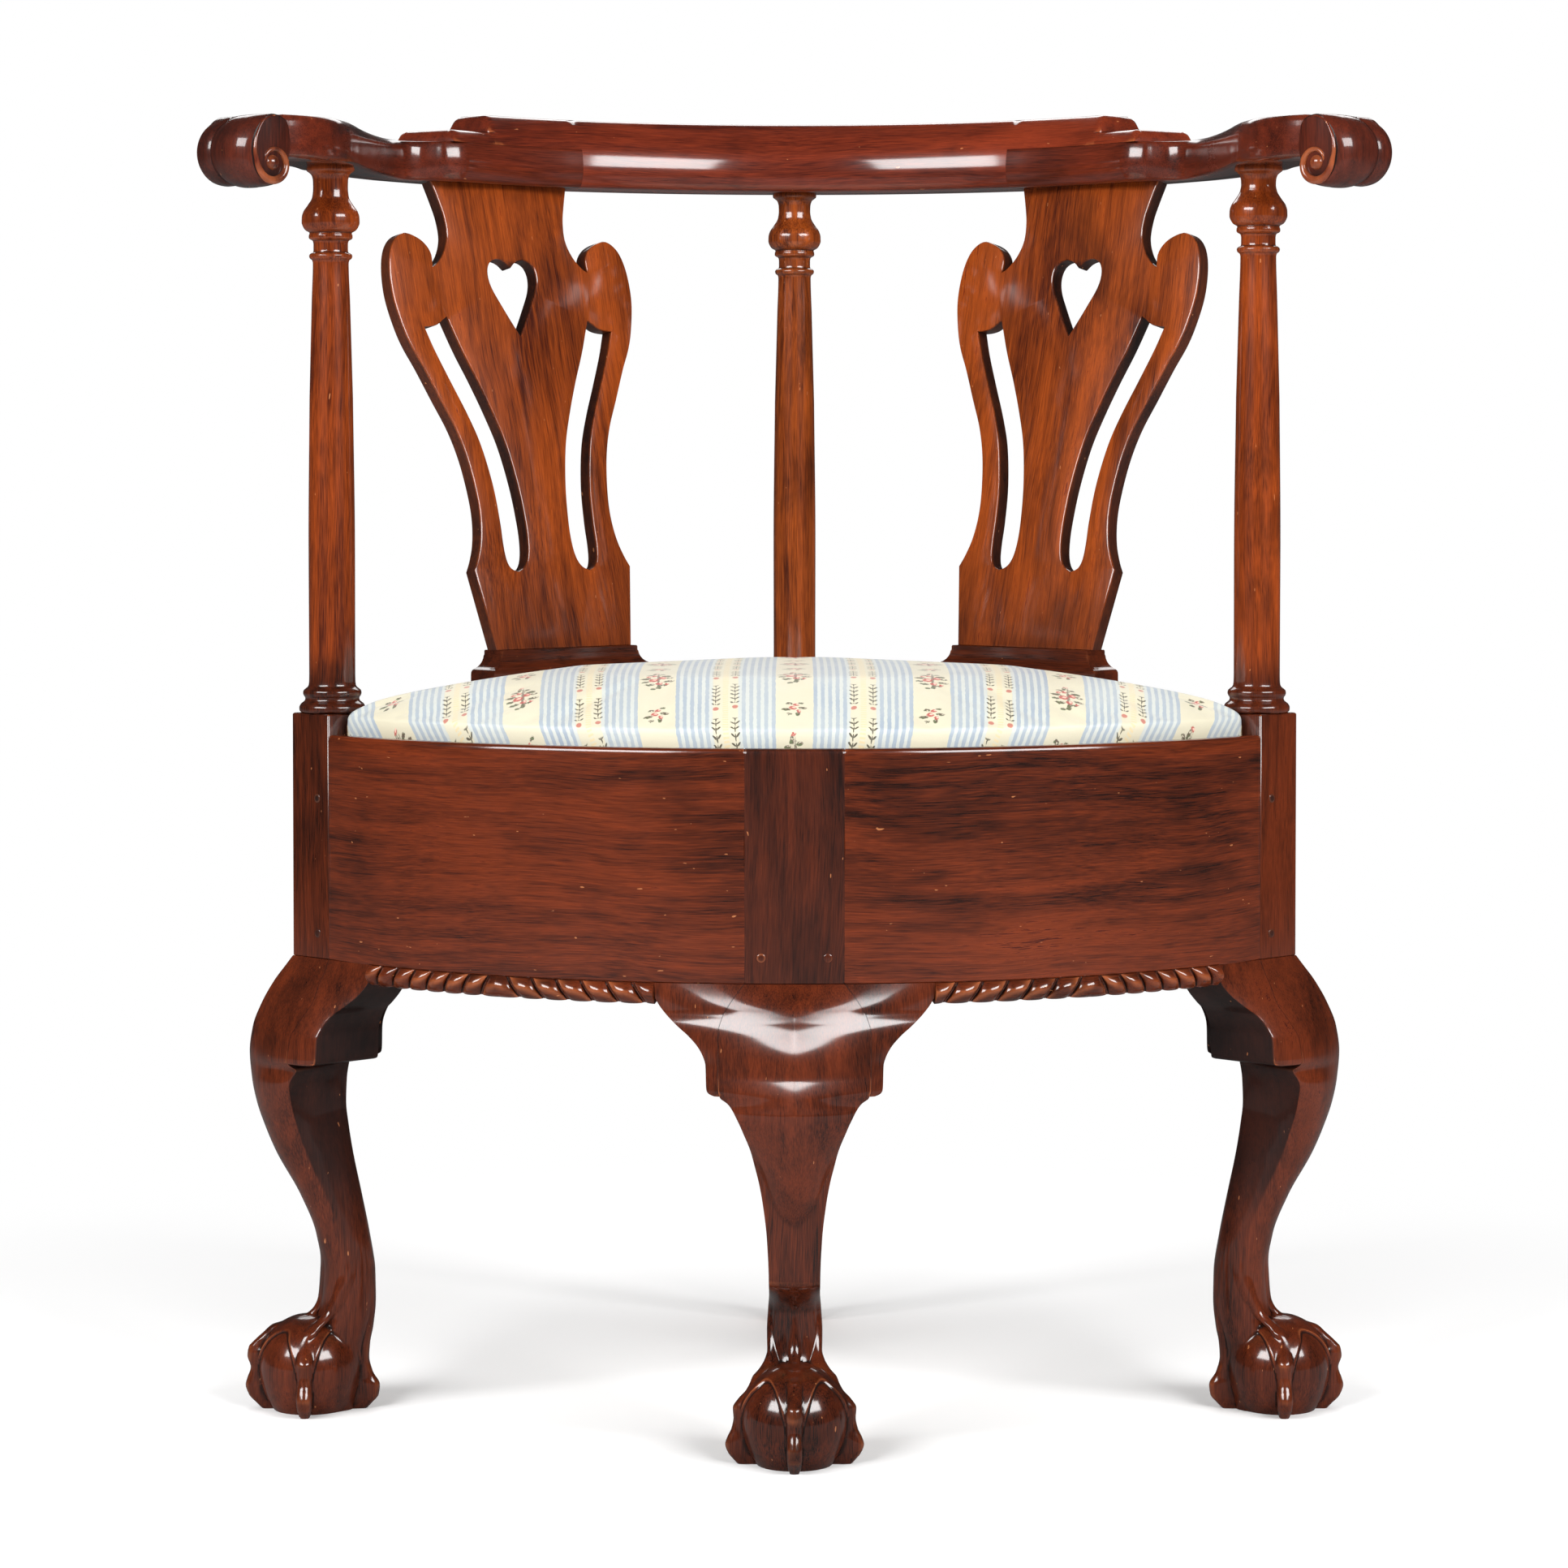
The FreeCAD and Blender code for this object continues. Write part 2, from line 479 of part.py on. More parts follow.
def shoe():
    """The left shoe that the splat stands in: an upright base and a hollow moulding up to the ledge."""
    middle = POST_SPACING / 2 - SPLAT_SHIFT
    ledge = SPLAT_FOOT[0][0] + 0.7
    shoulder = SPLAT_BASE_Z - 12.0
    steps = ((SHOE_COVE, RAIL_TOP), (SHOE_COVE, shoulder - 2), (SHOE_COVE - 1.2, shoulder),
             (SHOE_COVE * 0.55, shoulder + 2.2), (SHOE_COVE * 0.25, shoulder + 5.4),
             (SHOE_COVE * 0.12, shoulder + 8.4), (0.0, shoulder + 9.0), (0.0, SPLAT_BASE_Z))
    wires = []
    for out, z in steps:
        half = ledge + out
        front = SHOE_FRONT - (SHOE_COVE - out) * 0.45
        ring = ((-BLOCK_HALF, middle - half), (front, middle - half), (front, middle + half), (-BLOCK_HALF, middle + half))
        wires.append(closed_wire([block_frame(p, q, z) for p, q in ring]))
    return Part.makeLoft(wires, True, True)


# Left arm in plan: its inner edge from the crest joint to the hand, and its outer edge back again,
# as (how far inside or outside the post's axis, distance behind it)
ARM_INNER_EDGE = ((58.0, 138.5), (52.0, 138.5), (42.0, 137.0), (34.0, 130.0), (28.0, 116.0),
                  (23.0, 92.0), (19.5, 60.0), (17.5, 25.0), (16.5, -8.0), (14.5, -36.0), (8.5, -62.0),
                  (-4.0, -82.0), (-18.0, -94.0))
ARM_OUTER_EDGE = ((-60.0, -62.0), (-55.0, -48.0), (-43.0, -34.0), (-30.0, -14.0), (-24.5, 8.0),
                  (-22.5, 32.0))
ARM_EDGE_END = 81.0
WING_END = ((58.0, 138.5), (30.0, 166.5))
HAND_NEAR = (-23.0, -100.0)
HAND_RADIUS = 21.3
HAND_DROP = 21.5
VOLUTE_RADIUS = 12.2
VOLUTE_PROUD = 3.0
VOLUTE_DROP = 6.5
HAND_PROFILE = ((0.0, 21.5), (30.0, 21.5), (60.0, 21.4), (90.0, 21.4), (115.0, 21.0), (140.0, 18.0),
                (165.0, 14.0), (190.0, 12.6), (215.0, 15.0), (240.0, 18.6), (270.0, 21.0), (300.0, 21.5),
                (330.0, 21.5))
HAND_LOBES = ((0.0, 0.90), (2.0, 0.96), (7.0, 0.995), (14.0, 1.0), (22.0, 0.99), (28.0, 0.95), (32.0, 0.88),
              (33.6, 0.84), (35.5, 0.88), (39.0, 0.91), (44.0, 0.89), (48.0, 0.80), (51.0, 0.62), (52.0, 0.45))


def ring_point(radius, angle, z=0.0):
    """A point of the arms' circle, its angle in degrees from the rear post towards the left."""
    turn = math.radians(angle)
    return V(-radius * math.sin(turn), radius * math.cos(turn), z)


def beside_post(point, z=0.0):
    """A plan point given from the left post's axis."""
    return V(-POST_RADIUS + point[0], point[1], z)


def hand():
    """The left arm's scrolled hand: a nose of two lobes curling under into a volute on the inner side."""
    near = beside_post(HAND_NEAR, ARM_TOP - HAND_DROP)
    along = V(-DIAGONAL, DIAGONAL, 0)
    ahead = V(-DIAGONAL, -DIAGONAL, 0)
    wires = []
    for reach, size in HAND_LOBES:
        points = []
        for angle, radius in HAND_PROFILE:
            turn = math.radians(angle)
            points.append(near + along * reach + ahead * (radius * size * math.cos(turn))
                          + V(0, 0, radius * size * math.sin(turn)))
        wires.append(closed_wire(points))
    nose = Part.makeLoft(wires, True, True)
    volute = rod(near - along * VOLUTE_PROUD - V(0, 0, VOLUTE_DROP), along, VOLUTE_RADIUS, VOLUTE_PROUD + 5)
    return nose.fuse(volute)


def arm():
    """The left arm: a flat bowed board that ends in a scrolled hand."""
    outline = [ring_point(ARM_INNER, angle) for angle in (BUTT_ANGLE, 37, 41, 45, 49, 53, 56)]
    outline += [beside_post(point) for point in smooth_line(ARM_INNER_EDGE, 2)]
    outline += [beside_post(point) for point in smooth_line(ARM_OUTER_EDGE, 2)]
    outline += [ring_point(ARM_OUTER, angle) for angle in (ARM_EDGE_END, 77, 72, 67, 62, 57, 52, 47, 42, 37,
                                                           BUTT_ANGLE)]
    board = Part.Face(closed_wire([V(p.x, p.y, ARM_UNDER) for p in outline])).extrude(V(0, 0, ARM_THICKNESS))
    return board.fuse(hand())


def ring_section(section, angle):
    """A solid swept round the chair's upright axis, from minus the angle to plus the angle."""
    face = Part.Face(closed_wire([V(0, r, z) for r, z in section]))
    face.rotate(V(0, 0, 0), V(0, 0, 1), -angle)
    return face.revolve(V(0, 0, 0), V(0, 0, 1), 2 * angle)


def crest():
    """The crest rail: full height between the arms, and stepped wings over them."""
    front = ARM_INNER - 1.5
    back = ARM_OUTER - 1.5
    middle = ((front + 1.5, ARM_UNDER), (front, ARM_UNDER + 6), (front, ARM_TOP), (back, ARM_TOP),
              (back + 1, ARM_UNDER + 5), (back - 2, ARM_UNDER))
    lower = ((front, ARM_TOP), (front + 1.5, ARM_TOP + CREST_WING * 0.55), (front + 7, CREST_STEP),
             (back - 3, CREST_STEP), (back, ARM_TOP + CREST_WING * 0.5), (back, ARM_TOP))
    low = CREST_STEP - 0.5
    upper = ((front + 6.5, low), (front + 9.5, CREST_STEP + CREST_UPPER * 0.4),
             (front + 11, CREST_TOP - 2.5), (front + 13.5, CREST_TOP), (back - 8, CREST_TOP),
             (back - 4, CREST_TOP - 4), (back - 3.5, low))
    inner_end = beside_post(WING_END[0], ARM_TOP - 1)
    outer_end = beside_post(WING_END[1], ARM_TOP - 1)
    run = outer_end - inner_end
    away = V(run.y, -run.x, 0) * 6
    if away.y > 0:
        away = away * -1
    corners = [inner_end - run * 2, outer_end + run * 4, outer_end + run * 4 + away, inner_end - run * 2 + away]
    beyond = Part.Face(closed_wire(corners)).extrude(V(0, 0, CREST_WING + CREST_UPPER + 5))
    wings = ring_section(lower, ARM_EDGE_END - 15).cut(beyond).cut(mirrored(beyond))
    return ring_section(middle, BUTT_ANGLE).fuse([wings, ring_section(upper, CREST_UPPER_END)])


def seat_outline(gap):
    """The drop-in seat's plan outline, a gap inside the lips and clear of the stile and blocks."""
    radius = BOW_RADIUS - LIP_WIDTH - gap
    corner = BLOCK_HALF + NOTCH_GAP + gap - SEAT_GAP
    edge = REAR_LIP_INNER + gap
    offset = POST_RADIUS - corner / DIAGONAL
    apart = offset - BOW_CENTRE_Y
    meet = (-apart - math.sqrt(2 * radius ** 2 - apart ** 2)) / 2
    left = []
    reach = math.asin(-meet / radius)
    for i in range(15):
        turn = reach * i / 14
        left.append((-radius * math.sin(turn), BOW_CENTRE_Y - radius * math.cos(turn)))
    far = POST_SPACING - corner
    for p, q in [(corner, corner), (edge, corner)] + [(edge, corner + (far - corner) * k / 7) for k in range(1, 8)]:
        point = block_frame(p, q, 0)
        left.append((point.x, point.y))
    tip = block_frame(corner, far, 0)
    return left + [(0.0, tip.y)] + [(-x, y) for x, y in reversed(left[1:])]


def seat_blank(gap, bottom, top):
    """A slab of the seat's plan, a gap inside the opening that the rails and blocks leave."""
    return prism(seat_outline(gap), bottom, top)


def seat_frame():
    """The four rails of the seat frame, cut from one slab of its plan."""
    slab = seat_blank(SEAT_GAP + COVER, SEAT_FRAME_BOTTOM, SEAT_FRAME_TOP)
    low = SEAT_FRAME_BOTTOM - 10
    high = SEAT_FRAME_TOP + 10
    wide = 2 * POST_RADIUS
    hollow = Part.makeCylinder(BOW_RADIUS - LIP_WIDTH - SEAT_RAIL_WIDTH, high - low, V(0, BOW_CENTRE_Y, low))
    inner = block_box(REAR_LIP_INNER + SEAT_RAIL_WIDTH, wide, -BLOCK_SIZE, POST_SPACING - SEAT_RAIL_WIDTH, low, high)
    hollow = hollow.common(inner).common(mirrored(inner))
    ring = slab.cut(hollow)
    split = 10.0
    return {
        "seat_rail_front_left": ring.common(box(-wide, 0, -wide, split, low, high)),
        "seat_rail_front_right": ring.common(box(0, wide, -wide, split, low, high)),
        "seat_rail_rear_left": ring.common(box(-wide, 0, split, wide, low, high)),
        "seat_rail_rear_right": ring.common(box(0, wide, split, wide, low, high)),
    }


CROWN_STEPS = ((0.0, 0.0), (0.0, 0.0), (0.8, 4.0), (4.5, 8.8), (12.0, 14.4), (26.0, 21.2), (48.0, 28.2),
               (78.0, 33.4), (112.0, 36.2), (150.0, 37.4))


def crown(gap, bottom, rim, top):
    """The cushion's crowned form: upright sides to the rim, then drawn in and rising to the top."""
    outline = seat_outline(gap)
    wires = []
    rise = top - rim
    for index, (inset, height) in enumerate(CROWN_STEPS):
        z = bottom if index == 0 else rim + rise * height / CROWN_STEPS[-1][1]
        keep = 1 - inset / 200.0
        ring = [V(x * keep, CROWN_MIDDLE_Y + (y - CROWN_MIDDLE_Y) * keep, z) for x, y in outline]
        wires.append(closed_wire(ring))
    return Part.makeLoft(wires, True, True)


def webbing(top):
    """Straps across the seat frame, three each way, crossing in one layer."""
    straps = None
    for offset in (-WEB_PITCH, 0.0, WEB_PITCH):
        middle = POST_SPACING / 2 - BLOCK_HALF / 2 + offset
        across = block_box(SEAT_RAIL_WIDTH / 2, 2 * POST_RADIUS, middle - WEB_WIDTH / 2, middle + WEB_WIDTH / 2, top - WEB_THICKNESS, top)
        straps = across if straps is None else straps.fuse(across)
        straps = straps.fuse(mirrored(across))
    return straps.common(seat_blank(SEAT_GAP + COVER + 8, top - WEB_THICKNESS, top))


def largest(shape):
    """The largest solid of a shape."""
    return max(shape.Solids, key=lambda solid: solid.Volume)


def glue_block(outline, taken):
    """A block glued in a corner below the seat, cut to the pieces it sits against."""
    return largest(prism(outline, GLUE_BLOCK_BOTTOM, GLUE_BLOCK_TOP).cut(taken))


pieces = {}

left_rail = front_rail()
rear_left = rear_rail()
right_rail = mirrored(left_rail)
rear_right = mirrored(rear_left)
left = side_leg(BALL_DROP).cut(left_rail).cut(rear_left)
right = mirrored(side_leg(-BALL_DROP).cut(left_rail).cut(rear_left))
front = front_leg().cut(left_rail).cut(right_rail)
rear = rear_leg().cut(rear_left).cut(rear_right)

# Pegs through each leg into the tenons
inward = V(DIAGONAL, DIAGONAL, 0)
towards_front = V(DIAGONAL, -DIAGONAL, 0)
left_pegs = [rod(block_frame(PEG_INSET, -BLOCK_HALF, z), inward, PEG_RADIUS, PEG_LENGTH) for z in (PEG_LOW_Z, PEG_HIGH_Z)]
left_pegs += [rod(block_frame(-BLOCK_HALF, PEG_INSET, z), towards_front, PEG_RADIUS, PEG_LENGTH)
              for z in (PEG_LOW_Z + 9, PEG_HIGH_Z - 9)]
left_pegs = Part.makeCompound(left_pegs)
right_pegs = mirrored(left_pegs)
front_pegs = [rod(V(x, FRONT_FACE_Y - 1, PEG_LOW_Z), V(0, 1, 0), PEG_RADIUS, PEG_LENGTH + 2) for x in (9.5 - STILE_HALF, STILE_HALF - 9.5)]
bow_face = Part.makeCylinder(BOW_RADIUS, RAIL_DEPTH, V(0, BOW_CENTRE_Y, RAIL_BOTTOM))
front_pegs = Part.makeCompound([peg.common(bow_face) for peg in front_pegs])
far = POST_SPACING - PEG_INSET
rear_pegs = [rod(block_frame(-BLOCK_HALF, far, z), towards_front, PEG_RADIUS, PEG_LENGTH)
             for z in (PEG_LOW_Z + 9, PEG_HIGH_Z - 9)]
rear_pegs += [mirrored(rod(block_frame(-BLOCK_HALF, far, z), towards_front, PEG_RADIUS, PEG_LENGTH))
              for z in (PEG_LOW_Z + 20, PEG_HIGH_Z - 20)]
rear_pegs = Part.makeCompound(rear_pegs)

left = left.cut(left_pegs)
right = right.cut(right_pegs)
left_rail = left_rail.cut(left_pegs).cut(front_pegs)
rear_left = rear_left.cut(left_pegs).cut(rear_pegs)
front = front.cut(front_pegs)
rear = rear.cut(rear_pegs)
right_of_rear = rear_rail().cut(left_pegs)
rear_right = mirrored(right_of_rear).cut(rear_pegs)
right_rail = mirrored(left_rail)

pieces["front_leg"] = front
pieces["left_leg"] = left
pieces["right_leg"] = right
pieces["rear_leg"] = rear
pieces["front_rail_left"] = left_rail
pieces["front_rail_right"] = right_rail
pieces["rear_rail_left"] = rear_left
pieces["rear_rail_right"] = rear_right
pieces["front_leg_pegs"] = front_pegs
pieces["left_leg_pegs"] = left_pegs
pieces["right_leg_pegs"] = right_pegs
pieces["rear_leg_pegs"] = rear_pegs

# Brackets against the curve of each leg, and the mouldings between them
pieces["front_bracket_left"] = largest(front_bracket().cut(front))
pieces["front_bracket_right"] = mirrored(pieces["front_bracket_left"])
pieces["left_bracket_front"] = largest(side_front_bracket().cut(left))
rear_bracket = largest(side_rear_bracket().cut(left))
pieces["left_bracket_rear"] = largest(rear_bracket.cut(pieces["left_bracket_front"]))
pieces["right_bracket_front"] = mirrored(pieces["left_bracket_front"])
pieces["right_bracket_rear"] = mirrored(pieces["left_bracket_rear"])
pieces["gadroon_left"] = gadroon()
pieces["gadroon_right"] = mirrored(pieces["gadroon_left"])

# Shoes, splats, arms and crest
board = splat()
pieces["splat_left"] = board
pieces["splat_right"] = mirrored(board)
pieces["shoe_left"] = shoe().cut(board)
pieces["shoe_right"] = mirrored(pieces["shoe_left"])
crest_rail = crest()
dowels = [rod(ring_point((ARM_INNER + ARM_OUTER) / 2 + 8, side * angle, ARM_TOP - DOWEL_DEPTH), V(0, 0, 1),
              DOWEL_RADIUS, DOWEL_DEPTH + DOWEL_RISE) for angle in DOWEL_ANGLES for side in (-1, 1)]
dowels = Part.makeCompound(dowels)
left_arm = arm().cut(crest_rail).cut(dowels).cut(board).cut(pieces["left_leg"])
pieces["arm_left"] = left_arm
pieces["arm_right"] = mirrored(left_arm)
pieces["crest_rail"] = crest_rail.cut(dowels).cut(rear)
pieces["crest_dowels"] = dowels

# Blocks glued inside the corners of the seat rails
reach = GLUE_BLOCK_REACH
frame_pieces = [left, right, front, rear, left_rail, right_rail, rear_left, rear_right]
side_corner = [(p.x, p.y) for p in (block_frame(-10, -10, 0), block_frame(reach, -10, 0), block_frame(-10, reach, 0))]
pieces["glue_block_left"] = glue_block(side_corner, frame_pieces)
pieces["glue_block_right"] = mirrored(pieces["glue_block_left"])
rear_corner = ((-reach, POST_RADIUS - reach), (reach, POST_RADIUS - reach), (0.0, POST_RADIUS + 7))
pieces["glue_block_rear"] = glue_block(rear_corner, frame_pieces)
near_y = STILE_BACK_Y + 16
far_y = STILE_BACK_Y - 28
front_corner = ((-2 * STILE_HALF, near_y), (2 * STILE_HALF, near_y), (2 * STILE_HALF, far_y), (-2 * STILE_HALF, far_y))
pieces["glue_block_front"] = glue_block(front_corner, frame_pieces)

# Drop-in seat
pieces.update(seat_frame())
web_top = SEAT_FRAME_TOP + WEB_THICKNESS
pieces["seat_webbing"] = webbing(web_top)
canvas_top = web_top + CANVAS_THICKNESS
pieces["seat_canvas"] = seat_blank(SEAT_GAP + COVER + 4, web_top, canvas_top)
stuffing = crown(SEAT_GAP + COVER, canvas_top, canvas_top + 1.5, CROWN_TOP - COVER)
cover_solid = crown(SEAT_GAP, SEAT_FRAME_BOTTOM - COVER, canvas_top + 2.0, CROWN_TOP)
inner_form = crown(SEAT_GAP + COVER, SEAT_FRAME_BOTTOM, canvas_top + 1.5, CROWN_TOP - COVER)
hem = Part.makeCylinder(BOW_RADIUS - LIP_WIDTH - HEM_WIDTH, 4, V(0, BOW_CENTRE_Y, SEAT_FRAME_BOTTOM - 2))
inner = block_box(REAR_LIP_INNER + HEM_WIDTH, 2 * POST_RADIUS, -BLOCK_SIZE, POST_SPACING - HEM_WIDTH,
                  SEAT_FRAME_BOTTOM - 2, SEAT_FRAME_BOTTOM + 2)
hem = hem.common(inner).common(mirrored(inner))
pieces["seat_stuffing"] = stuffing
pieces["seat_cover"] = cover_solid.cut(inner_form).cut(hem)

whole = Part.makeCompound(list(pieces.values()))
bounds = whole.BoundBox
shift = V(0, -(bounds.YMin + bounds.YMax) / 2, 0)
for name, shape in pieces.items():
    shape.translate(shift)
    if not shape.isValid():
        print("invalid shape", name)
    print(name, len(shape.Solids), round(shape.Volume / 1000, 1))
    shape.exportStep("parts/" + name + ".step")
print("moved by", tuple(round(v, 3) for v in shift))
print("size", round(bounds.XLength, 2), round(bounds.YLength, 2), round(bounds.ZLength, 2))
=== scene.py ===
"""A carved corner chair with a drop-in silk seat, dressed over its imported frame.

Sizes are millimetres in the chair's own plan: the origin lies midway between the side posts, the rear
post stands at +Y and the front leg points towards -Y. Meshes are written in metres in the row frame.
"""
from __future__ import annotations

import json
import logging
import math
from dataclasses import dataclass
from typing import Any, Callable, Sequence

import bpy
import numpy as np
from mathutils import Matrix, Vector
from mathutils.geometry import delaunay_2d_cdt

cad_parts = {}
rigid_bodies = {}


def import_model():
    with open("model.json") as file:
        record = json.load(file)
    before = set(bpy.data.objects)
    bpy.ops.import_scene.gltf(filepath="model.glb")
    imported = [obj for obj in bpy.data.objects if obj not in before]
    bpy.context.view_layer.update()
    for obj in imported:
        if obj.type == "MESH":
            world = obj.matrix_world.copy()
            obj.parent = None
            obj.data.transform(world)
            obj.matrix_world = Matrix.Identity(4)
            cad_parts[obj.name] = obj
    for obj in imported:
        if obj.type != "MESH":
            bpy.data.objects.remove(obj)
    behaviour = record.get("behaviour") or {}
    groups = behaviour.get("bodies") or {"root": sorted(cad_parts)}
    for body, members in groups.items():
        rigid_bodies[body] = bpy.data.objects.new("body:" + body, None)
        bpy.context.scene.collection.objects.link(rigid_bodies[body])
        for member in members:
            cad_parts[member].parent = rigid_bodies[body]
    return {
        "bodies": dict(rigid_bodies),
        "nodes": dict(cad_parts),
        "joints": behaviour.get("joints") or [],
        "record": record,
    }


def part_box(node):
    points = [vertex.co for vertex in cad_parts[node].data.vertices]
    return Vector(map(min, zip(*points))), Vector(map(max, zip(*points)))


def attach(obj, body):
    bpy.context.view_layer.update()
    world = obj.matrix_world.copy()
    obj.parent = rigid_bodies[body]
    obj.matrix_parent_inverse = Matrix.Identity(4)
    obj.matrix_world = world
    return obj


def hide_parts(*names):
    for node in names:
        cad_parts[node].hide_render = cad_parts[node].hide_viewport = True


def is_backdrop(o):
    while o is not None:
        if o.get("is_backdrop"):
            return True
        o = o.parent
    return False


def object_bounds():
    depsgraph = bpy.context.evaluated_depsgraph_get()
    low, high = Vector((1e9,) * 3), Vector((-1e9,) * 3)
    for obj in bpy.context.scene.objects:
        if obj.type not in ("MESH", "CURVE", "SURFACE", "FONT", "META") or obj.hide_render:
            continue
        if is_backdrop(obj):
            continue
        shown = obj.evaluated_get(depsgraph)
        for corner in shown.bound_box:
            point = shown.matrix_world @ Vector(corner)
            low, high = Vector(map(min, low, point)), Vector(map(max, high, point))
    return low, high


LOG = logging.getLogger("corner_chair")
MM = 0.001
ROOT2 = math.sqrt(2.0)
MIRROR = np.array([-1.0, 1.0, 1.0])
Table = Sequence[tuple[float, float]]
Line = Sequence[tuple[float, float]]
Shade = tuple[float, float, float]
Place = tuple[float, float, float]


@dataclass(frozen=True)
class Plan:
    """Driving dimensions of the chair, the same as the frame's."""

    post_radius: float = 278.0
    block: float = 34.4
    rail_bottom: float = 274.5
    rail_top: float = 408.8
    block_top: float = 421.0
    front_face: float = -150.0
    rail_thickness: float = 26.0
    lip: float = 9.0
    rabbet: float = 14.0
    stile_half: float = 28.5
    stile_depth: float = 38.0
    arm_under: float = 748.5
    arm_top: float = 773.0
    wing_top: float = 781.0
    crest_top: float = 793.0
    ring_inner: float = 255.0
    ring_outer: float = 300.0
    rear_lip: float = 5.0
    seat_gap: float = 1.0
    notch_gap: float = 3.2
    seat_top: float = 445.8

    @property
    def half(self) -> float:
        """Half the block's side."""
        return self.block / 2

    @property
    def corner(self) -> float:
        """From the block's axis to its corner."""
        return self.half * ROOT2

    @property
    def bow_radius(self) -> float:
        """Radius of the front rails' outer face, through the side blocks' corners and the stile."""
        depth = -self.corner - self.front_face
        return (self.post_radius ** 2 + depth ** 2) / (2 * depth)

    @property
    def bow_centre(self) -> float:
        """Where the bow is struck from, on the chair's middle line."""
        return self.front_face + self.bow_radius

    @property
    def spacing(self) -> float:
        """Between a side post and the rear post."""
        return self.post_radius * ROOT2


PLAN = Plan()


def ramp(value: Any, start: Any, run: float) -> Any:
    """Rises evenly from 0 at the start to 1 a run further on; a negative run rises the other way."""
    return np.clip((value - start) / run, 0.0, 1.0)


def turns(count: int) -> np.ndarray:
    """The angles of a full turn in even steps."""
    return np.linspace(0.0, 2 * math.pi, count, endpoint=False)


def stations(*stretches: tuple[float, float, int]) -> np.ndarray:
    """Places along stretches that meet, each given by its two ends and its count of places."""
    parts = [np.linspace(low, high, count)[:-1] for low, high, count in stretches]
    return np.concatenate([*parts, [stretches[-1][1]]])


def unit(vectors: np.ndarray) -> np.ndarray:
    """The vectors at a length of 1."""
    return vectors / (np.linalg.norm(vectors, axis=-1, keepdims=True) + 1e-9)


def signed_area(outline: np.ndarray) -> float:
    """Twice a closed outline's area, positive if it runs against the clock."""
    ahead = np.roll(outline, -1, axis=0)
    return float(np.sum(outline[:, 0] * ahead[:, 1] - ahead[:, 0] * outline[:, 1]))


def around_middle(radius: float, degrees: Sequence[float]) -> list[tuple[float, float]]:
    """Plan points on a circle about the chair's middle, at degrees from the rear post to the left."""
    return [(-radius * math.sin(math.radians(a)), radius * math.cos(math.radians(a))) for a in degrees]


def on_bow(x: Any, radius: Any) -> Any:
    """Y at X, on a circle about the bow's centre."""
    return PLAN.bow_centre - np.sqrt(radius ** 2 - x ** 2)


def swept(radius: np.ndarray, turn: np.ndarray, z: np.ndarray) -> np.ndarray:
    """Points about the bow's centre, turned to the left from the chair's middle line."""
    return np.stack([-radius * np.sin(turn), PLAN.bow_centre - radius * np.cos(turn), z], axis=-1)


def lathed(radius: np.ndarray, z: np.ndarray, count: int = 72) -> np.ndarray:
    """Rings about an upright axis, one at each height.

    Args:
        radius: Distance from the axis at each height.
        z: Heights.
        count: Points in a ring.

    Returns:
        Points by height, place and coordinate.
    """
    turn = turns(count)
    x, y = radius[:, None] * np.cos(turn), radius[:, None] * np.sin(turn)
    return np.stack([x, y, np.broadcast_to(z[:, None], x.shape)], axis=-1)


def read(values: Any, key: str, kind: type = np.float32, width: int = 3) -> np.ndarray:
    """A property of a mesh's points, edges or corners, one row each.

    Args:
        values: The mesh's points, edges or corners.
        key: The property.
        kind: Its number type.
        width: Numbers in a row.

    Returns:
        The rows.
    """
    found = np.zeros(len(values) * width, kind)
    values.foreach_get(key, found)
    return found.reshape(-1, width)


def eased(table: Table, places: np.ndarray) -> np.ndarray:
    """A table's values on a smooth curve that never overshoots its knots.

    Each stretch is a cubic whose end slopes are the harmonic mean of the slopes on both sides.

    Args:
        table: Knots as (place, value), with rising places.
        places: Where the values are wanted.

    Returns:
        The values, in the shape of places.
    """
    knots = np.asarray(table, float)
    x, y = knots[:, 0], knots[:, 1]
    gap = np.diff(x)
    rise = np.diff(y) / gap
    slope = np.concatenate([rise[:1], np.zeros(len(x) - 2), rise[-1:]])
    same = rise[:-1] * rise[1:] > 0
    total = np.where(same, rise[:-1] + rise[1:], 1.0)
    slope[1:-1] = np.where(same, 2 * rise[:-1] * rise[1:] / total, 0.0)
    i = np.clip(np.searchsorted(x, places) - 1, 0, len(gap) - 1)
    t = np.clip((places - x[i]) / gap[i], 0.0, 1.0)
    return (y[i] * (1 + 2 * t) * (1 - t) ** 2 + slope[i] * gap[i] * t * (1 - t) ** 2
            + y[i + 1] * t * t * (3 - 2 * t) + slope[i + 1] * gap[i] * t * t * (t - 1))


def flowing(points: Sequence[Sequence[float]], steps: int = 6) -> np.ndarray:
    """A smooth line through points: a cubic on each stretch, its tangents along the neighbours' chord.

    Args:
        points: Places that the line passes.
        steps: Steps from one place to the next.

    Returns:
        The line's points.
    """
    p = np.asarray(points, float)
    q = np.vstack([2 * p[0] - p[1], p, 2 * p[-1] - p[-2]])
    t = (np.arange(steps) / steps)[None, :, None]
    a, b, c, d = (q[k:len(q) - 3 + k][:, None, :] for k in range(4))
    square, cube = 2 * a - 5 * b + 4 * c - d, 3 * b - a - 3 * c + d
    line = 0.5 * (2 * b + (c - a) * t + square * t ** 2 + cube * t ** 3)
    return np.vstack([line.reshape(-1, p.shape[1]), p[-1:]])


